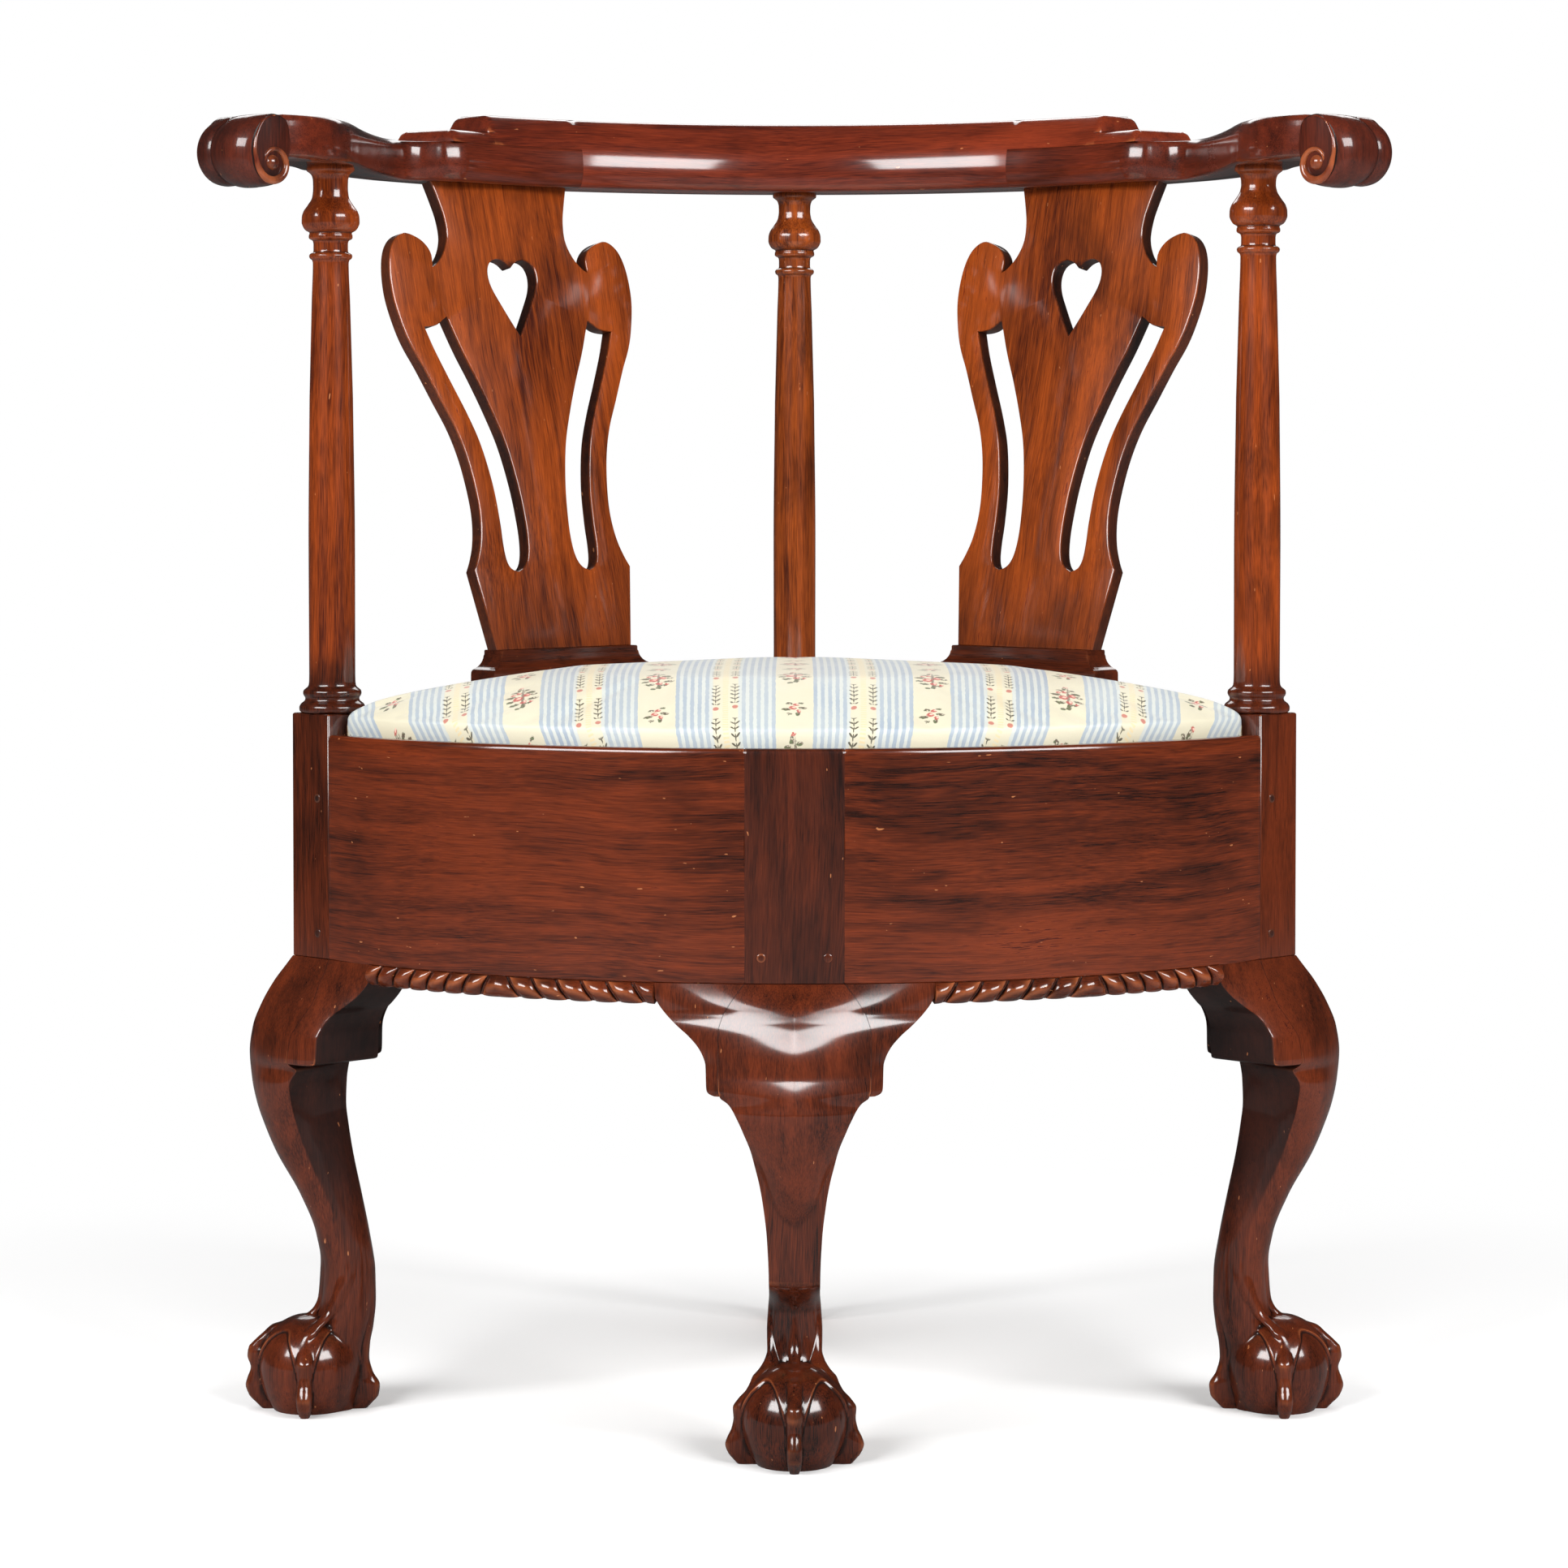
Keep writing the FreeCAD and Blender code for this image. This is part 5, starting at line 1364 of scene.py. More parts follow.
class Legs:
    """The four legs, their brackets and pegs."""

    plain_foot: Table = ((0.0, 14.5), (1.5, 16.0), (55.0, 16.2), (151.0, 20.0), (244.5, 22.2), (261.5, 23.2),
                         (270.0, 20.0), (275.5, 17.2))

    def __init__(self, shop: Workshop) -> None:
        """Keeps the workshop.

        Args:
            shop: The workshop.
        """
        self.shop = shop
        self.side = Cabriole()
        self.front = FrontCabriole()

    @staticmethod
    def beside_post(section: np.ndarray, z: np.ndarray) -> np.ndarray:
        """Puts a side leg's (across, outward) points at the left post, outward being -X."""
        return np.stack([-PLAN.post_radius - section[..., 1], -section[..., 0], z], axis=-1)

    @staticmethod
    def before_stile(section: np.ndarray, z: np.ndarray) -> np.ndarray:
        """Puts the front leg's points under the stile, outward being -Y; the knee follows the rails' bow.

        Args:
            section: (Across, outward) points.
            z: Their heights.

        Returns:
            The points in plan.
        """
        across = section[..., 0]
        bow = (on_bow(across, PLAN.bow_radius) - PLAN.front_face) * ramp(z, 120.0, 60.0)
        return np.stack([-across, PLAN.front_face + PLAN.corner - section[..., 1] + bow, z], axis=-1)

    def side_leg(self, drop: float) -> Shell:
        """The left leg: claw foot and cabriole, square block and turned post.

        Args:
            drop: How much lower the post's rings sit than as drawn.

        Returns:
            The leg's shell.
        """
        section, z = self.side.rows()
        place = np.array([-PLAN.post_radius, 0.0, 0.0])
        post = Post().rows(drop)
        shell = Shell.of(self.beside_post(section, np.broadcast_to(z[:, None], section.shape[:2])),
                         stain=self.side.darkening(z, section.shape[1]))
        shell.grid(square_rows() + place)
        shell.grid(post + place, stain=-ramp(post[..., 2] - PLAN.block_top, 14.0, 30.0))
        return shell

    def front_leg(self) -> Shell:
        """The front leg: claw foot, cabriole and the broad stile, whose face follows the bow.

        Returns:
            The leg's shell.
        """
        section, z = self.front.rows()
        shell = Shell.of(self.before_stile(section, np.broadcast_to(z[:, None], section.shape[:2])))
        rows, grain = Rails(self.shop).stile()
        shell.grid(rows, grain, np.full(rows.shape[:2], 0.42))
        return shell

    def rear_leg(self) -> Shell:
        """The rear leg: plain tapering foot, square block and turned post.

        Returns:
            The leg's shell.
        """
        z = np.linspace(0.0, PLAN.rail_bottom + 1, 60)
        place = np.array([0.0, PLAN.post_radius, 0.0])
        shell = Shell.of(lathed(eased(self.plain_foot, z), z) + place)
        shell.grid(square_rows() + place)
        shell.grid(Post().rows(0.0) + place)
        return shell

    @staticmethod
    def peg_heads(shell: Shell, centres: np.ndarray, way: Sequence[float], dark: float) -> None:
        """Low domes of wooden pegs that stand a hair proud of the faces, one at each centre.

        Args:
            shell: The shell they are added to.
            centres: The middle of each.
            way: The way the face looks.
            dark: Their stain.
        """
        way = np.asarray(way, float)
        up = np.array([0.0, 0.0, 1.0])
        turn = turns(20)[None, :, None]
        reach = np.array([2.6, 2.6, 2.3, 1.4, 0.3])[:, None, None]
        lift = np.array([-6.0, 0.05, 0.28, 0.36, 0.38])[:, None, None]
        for centre in centres:
            rows = centre + reach * (np.cross(way, up) * np.cos(turn) + up * np.sin(turn)) + way * lift
            shell.grid(rows, stain=np.full(rows.shape[:2], dark))

    def build(self) -> None:
        """Makes every leg, bracket and peg."""
        shop = self.shop
        for name, shell in (("left_leg", self.side_leg(2.0)), ("right_leg", self.side_leg(-2.0).mirrored()),
                            ("front_leg", self.front_leg())):
            shop.walnut(f"{name}_carved", shell, shop.leg_wood, name)
        shop.walnut("rear_leg_turned", self.rear_leg(), shop.post_wood, "rear_leg")
        self.brackets()
        self.pegs()

    def brackets(self) -> None:
        """Makes the six knee brackets, dark on their sawn edges, backs and seams."""
        shop = self.shop
        loop = self.front.bracket()
        dark = np.zeros(loop.shape[:2])
        dark[:, 26:] = 0.95
        dark[:, :1] = 0.9
        shop.pair("front_bracket", Shell.of(self.before_stile(loop[..., :2], loop[..., 2]), stain=dark),
                  shop.leg_wood)
        loop = self.side.bracket()
        for end, way in (("front", np.ones(2)), ("rear", MIRROR[:2])):
            shell = Shell.of(self.beside_post(loop[..., :2] * way, loop[..., 2]), stain=dark)
            for side, surface in (("left", shell), ("right", shell.mirrored())):
                name = f"{side}_bracket_{end}"
                shop.walnut(f"{name}_carved", surface, shop.leg_wood, name)

    def pegs(self) -> None:
        """Makes the heads of the pegs that hold the rails' tenons."""
        low, high, near = 289.5, 370.5, 6.5
        half = PLAN.half
        rear_way = (-1 / ROOT2, 1 / ROOT2, 0.0)
        inner = np.array([low + 9, high - 9])
        shop = self.shop
        left = Shell()
        self.peg_heads(left, beside(near, -half, np.array([low, high])), (-1 / ROOT2, -1 / ROOT2, 0.0), 0.8)
        self.peg_heads(left, beside(-half, near, inner), rear_way, 0.8)
        shop.walnut("left_leg_peg_heads", left, shop.leg_wood, "left_leg_pegs")
        shop.walnut("right_leg_peg_heads", left.mirrored(), shop.leg_wood, "right_leg_pegs")
        x = PLAN.stile_half - 9.5
        y = float(on_bow(x, PLAN.bow_radius))
        front = Shell()
        self.peg_heads(front, np.array([[-x, y, low], [x, y, low]]), (0.0, -1.0, 0.0), 0.35)
        shop.walnut("front_leg_peg_heads", front, shop.leg_wood, "front_leg_pegs")
        far = PLAN.spacing - near
        rear = Shell()
        self.peg_heads(rear, beside(-half, far, inner), rear_way, 0.7)
        self.peg_heads(rear, beside(-half, far, np.array([low + 20, high - 20])) * MIRROR,
                       (1 / ROOT2, 1 / ROOT2, 0.0), 0.7)
        shop.walnut("rear_leg_peg_heads", rear, shop.post_wood, "rear_leg_pegs")


class Rails:
    """The seat rails and the gadrooned mouldings under the front ones."""

    def __init__(self, shop: Workshop) -> None:
        """Keeps the workshop."""
        self.shop = shop

    @staticmethod
    def section(depth: float) -> np.ndarray:
        """A front rail's section as (distance in from its face, height), with eased arrises.

        Args:
            depth: The rail's thickness.

        Returns:
            The section's points.
        """
        top, low, lip = PLAN.rail_top, PLAN.rail_bottom, PLAN.lip
        ledge = top - PLAN.rabbet
        points = [(0.0, low + 0.6), (0.0, low + 8)]
        points += [(0.0, low + (top - low) * k / 12) for k in range(1, 12)]
        points += [(0.0, top - 3.2), (0.25, top - 1.6), (1.0, top - 0.5), (2.4, top), (5.0, top),
                   (lip - 1.2, top), (lip - 0.3, top - 0.3), (lip, top - 1.2), (lip, ledge + 4), (lip, ledge)]
        points += [(depth - 1.0, ledge), (depth, ledge - 1.0), (depth, low + 60), (depth, low + 0.8),
                   (depth - 0.8, low), (depth / 2, low), (0.6, low)]
        return np.array(points)

    def drawn(self, depth: float, tuck: np.ndarray) -> tuple[np.ndarray, np.ndarray]:
        """The section's radii and heights at each step of a sweep, drawn towards its middle by the tuck.

        Args:
            depth: The rail's thickness.
            tuck: How far it is drawn in at each step.

        Returns:
            Radii and heights by step and place.
        """
        section = self.section(depth)
        way = unit(section - section.mean(axis=0)) * tuck[..., None]
        return PLAN.bow_radius - section[:, 0] + way[..., 0], section[:, 1] - way[..., 1]

    def stile(self) -> tuple[np.ndarray, np.ndarray]:
        """The front leg's stile: its sections, swept along the bow from side to side, and their grain.

        Returns:
            Points and wood directions.
        """
        share = np.concatenate([[0.0, 0.008], np.linspace(0.03, 0.97, 12), [0.992, 1.0]])[:, None]
        tuck = np.where((share == 0) | (share == 1), 0.5, 0.0)
        radius, z = self.drawn(PLAN.stile_depth, tuck)
        x = np.broadcast_to(PLAN.stile_half * (2 * share - 1), radius.shape)
        rows = np.stack([x, on_bow(x, radius), z], axis=-1)
        return rows, np.stack([z, x + 40.0, rows[..., 1]], axis=-1)

    def front_rail(self) -> Shell:
        """The left front rail: its section swept about the bow's centre from the stile to the block.

        Each point's sweep ends where its circle meets the block's side: along the rail direction the
        distance is half the block, which gives the turn as an arc cosine.

        Returns:
            The rail's shell.
        """
        share = np.concatenate([[0.0, 0.0015], np.linspace(0.01, 0.99, 70), [0.9985, 1.0]])[:, None]
        tuck = np.where((share == 0) | (share == 1), 0.6, 0.0)
        radius, z = self.drawn(PLAN.rail_thickness, tuck)
        start = np.arcsin(PLAN.stile_half / radius)
        level = PLAN.half * ROOT2 - PLAN.post_radius + PLAN.bow_centre
        stop = np.arccos(np.clip(level / (ROOT2 * radius), -1, 1)) - math.pi / 4
        turn = start + (stop - start) * share
        grain = np.stack([turn * PLAN.bow_radius, z, radius - 300.0], axis=-1)
        return Shell.of(swept(radius, turn, z), grain)

    @staticmethod
    def gadroon() -> Shell:
        """The left moulding: a half-round strip cut into slanted lobes.

        Along the strip a phase counts the lobes and leans with the height; the strip swells by the root
        of one minus the phase's square, so lobes are full and the cuts between them sharp. One broad
        lobe stands in the middle, and the lean changes side there.

        Returns:
            The moulding's shell.
        """
        outer = PLAN.bow_radius
        count, around, broad = 900, 30, 9.6
        start = math.asin(80.4 / outer)
        level = 55.5 * ROOT2 - PLAN.post_radius + PLAN.bow_centre
        stop = math.acos(level / (ROOT2 * (outer + 2))) - math.pi / 4
        turn = np.linspace(start, stop, count)[:, None]
        run = (turn - start) * outer
        height = np.linspace(0.0, 1.0, around)[None, :]
        middle = float(run.max()) * 0.50
        lean = np.where(run < middle, 1.0, -1.0) * (height - 0.45) * 7.0
        place = run + lean - middle
        full = np.abs(place) < broad
        phase = np.where(place < 0, (-place - broad) / 15.6, (place - broad) / 13.4) % 1.0
        local = np.where(full, place / (2 * broad) + 0.5, phase) * 2 - 1
        lobe = np.clip(1 - (np.abs(local) * 1.12) ** 2.2, 0.0, 1.0) ** 0.6
        swell = np.sin(height * math.pi * 0.94 + 0.1) ** 0.55 * (0.5 + 5.0 * lobe)
        base = 1.0 - 4.6 * np.clip(height - 0.35, 0.0, 1.0) ** 1.6
        radius = outer + base - 2.4 + swell * 0.92
        z = PLAN.rail_bottom - 0.2 - 11.6 * height + 0 * turn - 0.7 * lobe * height
        radius = np.concatenate([radius, np.full((count, 2), outer - 9.0)], axis=1)
        back = np.broadcast_to([PLAN.rail_bottom - 11.0, PLAN.rail_bottom], (count, 2))
        z = np.concatenate([z, back], axis=1)
        return Shell.of(swept(radius, turn, z), np.stack([np.broadcast_to(run, z.shape), z, radius], axis=-1))

    def build(self) -> None:
        """Makes the front rails and the mouldings."""
        shop = self.shop
        shop.pair("front_rail", self.front_rail(), shop.rail_wood)
        shop.pair("gadroon", self.gadroon(), shop.leg_wood)


@dataclass(frozen=True)
class Back:
    """The two pierced splats and the shoes that they stand in."""

    shop: Workshop
    base_z: float = 454.0
    base_out: float = 5.3
    lean_out: float = 62.3
    thickness: float = 10.0
    shift: float = 3.0
    table_top: float = 301.0
    foot_half: float = 56.8
    profile: Line = (
        (0.0, 11.0), (0.4, 11.2), (30.0, 11.2), (31.6, 11.0), (32.6, 10.4), (33.2, 9.4), (33.5, 8.8),
        (34.0, 7.6), (35.0, 5.4), (36.4, 3.5), (38.2, 2.0), (40.0, 1.1), (41.4, 0.8), (42.0, 0.5),
        (42.3, 0.2), (44.6, 0.1), (45.2, -0.4))
    waist: Line = (
        (66.0, 51.3), (62.0, 58.5), (57.8, 69.3), (55.4, 84.0), (55.8, 100.0), (59.2, 122.0),
        (65.4, 141.6), (74.8, 160.5), (84.6, 180.4), (92.6, 195.0), (97.4, 208.0), (101.2, 225.0),
        (101.4, 240.0), (99.0, 253.0), (94.0, 262.0), (85.6, 266.8), (76.0, 264.6), (69.0, 260.0),
        (65.2, 253.5), (65.6, 245.6))
    neck: Line = (
        (65.6, 245.6), (60.6, 248.6), (54.2, 256.0), (50.2, 266.0), (50.6, 278.0), (53.4, 289.0),
        (57.4, 301.5))
    slot_inner: Line = (
        (30.6, 49.6), (24.6, 52.2), (20.6, 58.0), (18.6, 68.0), (18.4, 82.0), (20.4, 105.0), (25.4, 130.5),
        (32.6, 151.0), (41.6, 172.0), (51.2, 192.0), (59.8, 213.2))
    slot_outer: Line = (
        (79.2, 206.4), (73.6, 192.0), (64.2, 172.0), (53.6, 150.0), (46.2, 130.5), (41.0, 105.0),
        (39.4, 82.0), (39.4, 68.0), (38.6, 58.0), (36.0, 52.2), (30.6, 49.6))
    slot_head: Line = ((59.8, 213.2), (63.5, 211.0), (68.5, 208.0), (74.0, 206.8), (79.2, 206.4))
    heart: Line = (
        (0.0, 202.0), (4.6, 209.0), (12.2, 221.5), (18.6, 233.0), (20.4, 241.8), (18.0, 248.8), (11.6, 252.0),
        (4.6, 250.4), (0.0, 246.6))

    def outlines(self) -> list[np.ndarray]:
        """The outer outline, both slots and the heart, in the splat's own plane.

        Returns:
            The closed outlines, the outer one first.
        """
        def across(x: float, y: float) -> np.ndarray:
            """Seven points from (x, y) straight across to its mirror image."""
            return np.array([(x * (1 - k / 4), y) for k in range(1, 8)])

        side = np.vstack([[self.foot_half, 0.0], even(flowing(self.waist), 110),
                          even(flowing(self.neck), 46)[1:]])
        outer = np.vstack([side, across(*self.neck[-1]), side[::-1] * MIRROR[:2],
                           across(-self.foot_half, 0.0)])
        slot = np.vstack([even(flowing(line), count)[:-1] for line, count in
                          ((self.slot_outer, 90), (self.slot_inner, 90), (self.slot_head, 14))])
        right = even(flowing(self.heart), 40)
        return [outer, slot, slot[::-1] * MIRROR[:2], np.vstack([right, right[-2:0:-1] * MIRROR[:2]])]

    def splat(self) -> Shell:
        """The left splat: its outlines with rounded arrises, leaning outward from the shoe to the arm.

        Returns:
            The splat's shell.
        """
        rise = PLAN.arm_under - self.base_z
        lean = math.atan2(self.lean_out, rise)
        slope = math.hypot(self.lean_out, rise) / self.table_top
        middle = PLAN.spacing / 2 - self.shift

        def place(points: np.ndarray, level: float) -> np.ndarray:
            """Puts (across, up) points at a depth behind the front face."""
            up = points[:, 1] * slope
            out = self.base_out + up * math.sin(lean) + level * math.cos(lean)
            z = self.base_z + up * math.cos(lean) - level * math.sin(lean)
            return beside(-out, middle + points[:, 0], np.clip(z, 0.0, PLAN.arm_under + 1.0))

        def grain(points: np.ndarray, level: float) -> np.ndarray:
            """Runs the wood up the splat."""
            return np.column_stack([points[:, 1] + 410.0, points[:, 0] + 60.0, np.full(len(points), level)])

        def stain(points: np.ndarray, level: float) -> np.ndarray:
            """Darkens the sawn edges, and the face a little towards the shoe."""
            edge = 0.85 * min(max((level - 0.5) / 0.8, 0.0), 1.0)
            return np.maximum(edge, 0.4 * np.clip((70.0 - points[:, 1]) / 60.0, 0.0, 1.0))

        levels = [(0.9, 0.0), (0.3, 0.2), (0.0, 0.9), (0.0, 1.5), (0.0, self.thickness - 1.4),
                  (0.5, self.thickness - 0.4), (1.3, self.thickness)]
        shell = Shell()
        shell.prism(self.outlines(), place, levels, grain, stain)
        return shell

    def shoe(self) -> Shell:
        """The left shoe: an upright base and a hollow moulding up to the ledge, mitred at its ends.

        Returns:
            The shoe's shell.
        """
        middle = PLAN.spacing / 2 - self.shift
        widest = max(out for _, out in self.profile)
        back = -PLAN.half
        levels = []
        for up, out in self.profile:
            face = PLAN.rear_lip - 0.5 - (widest - out) * 0.45
            half = self.foot_half + 0.7 + out
            loop = np.vstack([np.column_stack([np.full(34, face), middle + np.linspace(-half, half, 34)]),
                              np.column_stack([np.linspace(face, back, 6)[1:], np.full(5, middle + half)]),
                              np.column_stack([np.full(12, back), middle + np.linspace(half, -half, 13)[1:]]),
                              np.column_stack([np.linspace(back, face, 6)[1:-1], np.full(4, middle - half)])])
            levels.append(beside(loop[:, 0], loop[:, 1], PLAN.rail_top + up))
        rows = np.stack(levels)
        x, y, z = np.moveaxis(rows, -1, 0)
        return Shell.of(rows, np.stack([(y + x) / ROOT2, z, (y - x) / ROOT2], axis=-1))

    def build(self) -> None:
        """Makes both splats and both shoes."""
        self.shop.pair("splat", self.splat(), self.shop.splat_wood)
        self.shop.pair("shoe", self.shoe(), self.shop.leg_wood)


@dataclass(frozen=True)
class Arms:
    """The two flat bowed arms with scrolled hands, and the crest rail over them."""

    shop: Workshop
    butt: float = 33.0
    inner_edge: Line = (
        (58.0, 138.5), (52.0, 138.5), (42.0, 137.0), (34.0, 130.0), (28.0, 116.0), (23.0, 92.0), (19.5, 60.0),
        (17.5, 25.0), (16.5, -8.0), (14.5, -36.0), (8.5, -62.0), (-4.0, -82.0), (-18.0, -94.0))
    outer_edge: Line = (
        (-60.0, -62.0), (-55.0, -48.0), (-43.0, -34.0), (-30.0, -14.0), (-24.5, 8.0), (-22.5, 32.0))
    edge_end: float = 81.0
    hand_near: tuple[float, float] = (-301.0, -100.0)
    hand_drop: float = 21.5
    eye_drop: float = 7.0
    shoulder: float = 13.0
    nose: Table = ((0.0, 21.5), (90.0, 21.4), (115.0, 21.0), (140.0, 18.4), (165.0, 14.6), (190.0, 12.8),
                   (215.0, 15.0), (240.0, 18.6), (270.0, 21.0), (300.0, 21.5), (360.0, 21.5))
    scroll: Table = ((0.0, 12.4), (30.0, 16.2), (45.0, 18.8), (60.0, 21.8), (75.0, 25.0), (90.0, 28.0),
                     (110.0, 27.0), (130.0, 20.0), (150.0, 15.0), (180.0, 11.0), (240.0, 11.6), (270.0, 12.0),
                     (330.0, 12.0), (360.0, 12.4))
    scroll_kept: Table = ((0.0, 1.0), (55.0, 1.0), (88.0, 0.12), (180.0, 0.0), (250.0, 0.6), (280.0, 1.0),
                          (360.0, 1.0))
    lobes: Table = ((0.0, 0.985), (13.0, 0.99), (17.0, 1.0), (22.0, 0.995), (27.0, 0.965), (31.0, 0.91),
                    (33.2, 0.865), (34.2, 0.85), (35.4, 0.875), (38.0, 0.905), (42.0, 0.91), (46.0, 0.875),
                    (49.5, 0.77), (51.4, 0.62), (52.2, 0.45))
    fillet: Table = ((-4.0, 27.2), (0.0, 26.8), (15.0, 24.6), (30.0, 20.6), (45.0, 17.4), (60.0, 14.8),
                     (90.0, 11.4), (135.0, 10.3), (225.0, 10.2), (270.0, 9.6), (315.0, 8.6), (360.0, 7.6),
                     (405.0, 6.4), (440.0, 5.2))
    fillet_half: Table = ((-4.0, 0.3), (15.0, 0.8), (45.0, 1.2), (90.0, 1.7), (135.0, 2.2), (180.0, 2.4),
                          (225.0, 2.3), (270.0, 2.0), (315.0, 1.7), (360.0, 1.3), (405.0, 1.0), (440.0, 0.4))
    face: Table = ((748.5, 255.3), (749.5, 253.6), (752.0, 251.9), (757.0, 250.5), (761.0, 250.2),
                   (766.0, 250.6), (772.0, 251.9), (777.0, 253.9), (782.0, 256.6), (787.0, 260.4),
                   (790.0, 263.4), (792.3, 267.0), (793.0, 270.0))
    rear: Table = ((748.5, 296.5), (750.0, 298.2), (753.0, 299.0), (773.0, 298.5))
    wing_end: float = 57.7
    wing_run: float = 1.6
    upper_end: float = 48.9
    upper_run: float = 1.7
    wood_radius: float = 280.0

    def board(self, shell: Shell) -> None:
        """The flat board of the left arm, its arrises rounded, most at the top.

        Under the crest rail its edges take the crest's own section, so the two make one moulding.

        Args:
            shell: The arm's shell.
        """
        ring = around_middle(PLAN.ring_inner, (self.butt, 37, 41, 45, 49, 53, 56))
        near = [(-PLAN.post_radius + x, y) for x, y in self.inner_edge]
        far = [(-PLAN.post_radius + x, y) for x, y in self.outer_edge]
        back = around_middle(PLAN.ring_outer, (self.edge_end, 77, 72, 67, 62, 57, 52, 47, 42, 37, self.butt))
        outline = np.vstack([even(flowing(ring), 44)[:-1], even(flowing(near), 130),
                             even(flowing(far + back), 130)])
        outline = outline[np.linalg.norm(np.roll(outline, -1, axis=0) - outline, axis=1) > 0.3]
        share = ramp(np.degrees(np.arctan2(-outline[:, 0], outline[:, 1])), 62.5, -4.5)[:, None]
        inner_side = (np.hypot(*outline.T) < (PLAN.ring_inner + PLAN.ring_outer) / 2)[:, None]
        under, top = PLAN.arm_under, PLAN.arm_top
        plain = ((2.2, under), (0.8, under + 0.7), (0.1, under + 2.2), (0.0, under + 8.5),
                 (0.0, under + 14.0), (0.0, top - 7.0), (0.2, top - 4.0), (0.9, top - 1.7),
                 (2.1, top - 0.4), (3.6, top))
        levels = []
        for draw, z in plain:
            height = np.array([z])
            moulded = np.where(inner_side, eased(self.face, height)[0] - PLAN.ring_inner,
                               PLAN.ring_outer - eased(self.rear, height)[0]) + (0.35 if z == top else 0.0)
            levels.append((draw * (1 - share) + moulded * share, z))

        def place(points: np.ndarray, level: float) -> np.ndarray:
            """Lays plan points at a height."""
            return np.column_stack([points, np.full(len(points), level)])

        def grain(points: np.ndarray, level: float) -> np.ndarray:
            """Runs the wood along the board."""
            turn = np.arctan2(-points[:, 0], points[:, 1])
            return np.column_stack([turn * self.wood_radius, np.hypot(*points.T),
                                    np.full(len(points), level)])

        shell.prism([outline], place, levels, grain)

    def hand(self, shell: Shell) -> None:
        """The left hand. It starts at the scroll's outline and swells over a round shoulder into a nose.

        The share of the nose is the root of one minus the square of what is left of the shoulder, which
        is a quarter circle; further on the nose dips and swells again into a small second lobe.

        Args:
            shell: The arm's shell.
        """
        along = np.array([-1.0, 1.0, 0.0]) / ROOT2
        ahead = np.array([-1.0, -1.0, 0.0]) / ROOT2
        up = np.array([0.0, 0.0, 1.0])
        axis = np.array([*self.hand_near, PLAN.arm_top - self.hand_drop])
        eye = axis - up * self.eye_drop
        reach = np.concatenate([[0.0, 0.25],
                                self.shoulder * (1 - np.cos(np.linspace(0.12, 1.0, 26) * math.pi / 2)),
                                np.linspace(13.6, 52.2, 76)])
        turn = turns(144)
        degrees = np.degrees(turn)
        way = ahead * np.cos(turn)[:, None] + up * np.sin(turn)[:, None]
        start = eye + way * eased(self.scroll, degrees)[:, None]
        full = axis + way * eased(self.nose, degrees)[:, None]
        swell = np.sqrt(1 - (1 - ramp(reach, 0.0, self.shoulder)) ** 2)[:, None, None]
        kept = np.maximum(eased(self.scroll_kept, degrees)[None, :], ramp(reach[:, None], 45.0, 4.0))
        size = (1 - (1 - eased(self.lobes, reach)[:, None]) * kept)[..., None]
        section = axis + (start + (full - start) * swell - axis) * size
        tuck = np.where(reach < 0.1, 0.975, 1.0)[:, None, None]
        rows = eye + (section - eye) * tuck + along * reach[:, None, None]
        shell.grid(rows, stain=np.full(rows.shape[:2], 0.4))
        self.volute(shell, eye, along, ahead, up)

    def volute(self, shell: Shell, eye: np.ndarray, along: np.ndarray, ahead: np.ndarray,
               up: np.ndarray) -> None:
        """The spiral on the hand's inner face: a tapering round fillet that winds in to a domed eye.

        Its distance from the eye falls with the turn from the arm's top edge, forward, under and up
        again; its thickness swells and falls with it.

        Args:
            shell: The arm's shell.
            eye: The spiral's middle.
            along: The way into the hand's side.
            ahead: The way forward along the arm.
            up: Upwards.
        """
        degrees = np.linspace(-4.0, 440.0, 170)
        turn = np.radians(degrees)
        reach = eased(self.fillet, degrees)
        thick = eased(self.fillet_half, degrees)
        outward = ahead * np.sin(turn)[:, None] + up * np.cos(turn)[:, None]
        ring = turns(16)
        shell.grid((eye + outward * reach[:, None])[:, None] + thick[:, None, None]
                   * (outward[:, None] * np.cos(ring)[None, :, None] - along * np.sin(ring)[None, :, None]))
        share = np.linspace(0.0, 0.97, 14) * math.pi / 2
        spin = turns(48)
        around = ahead * np.cos(spin)[:, None] + up * np.sin(spin)[:, None]
        shell.grid(eye - along * (3.6 * np.sin(share) - 0.8)[:, None, None]
                   + (4.5 * np.cos(share))[:, None, None] * around)

    def section(self, away: float, block: bool) -> tuple[np.ndarray, np.ndarray]:
        """The crest's closed section at an angle from the rear post, as radii and heights.

        The moulded face runs from the underside, or from the arm's top beside the block, to the top. The
        upper tier and the wing each end in a quarter circle, whose height is the root of one minus the
        square of what is left of its run.

        Args:
            away: Degrees from the rear post.
            block: Whether the section goes down between the arms.

        Returns:
            Radii and heights.
        """
        def risen(end: float, run: float) -> float:
            """How far a tier has risen beside its end."""
            return math.sqrt(1 - (1 - min(max(end - away, 0.0) / run, 1.0)) ** 2)

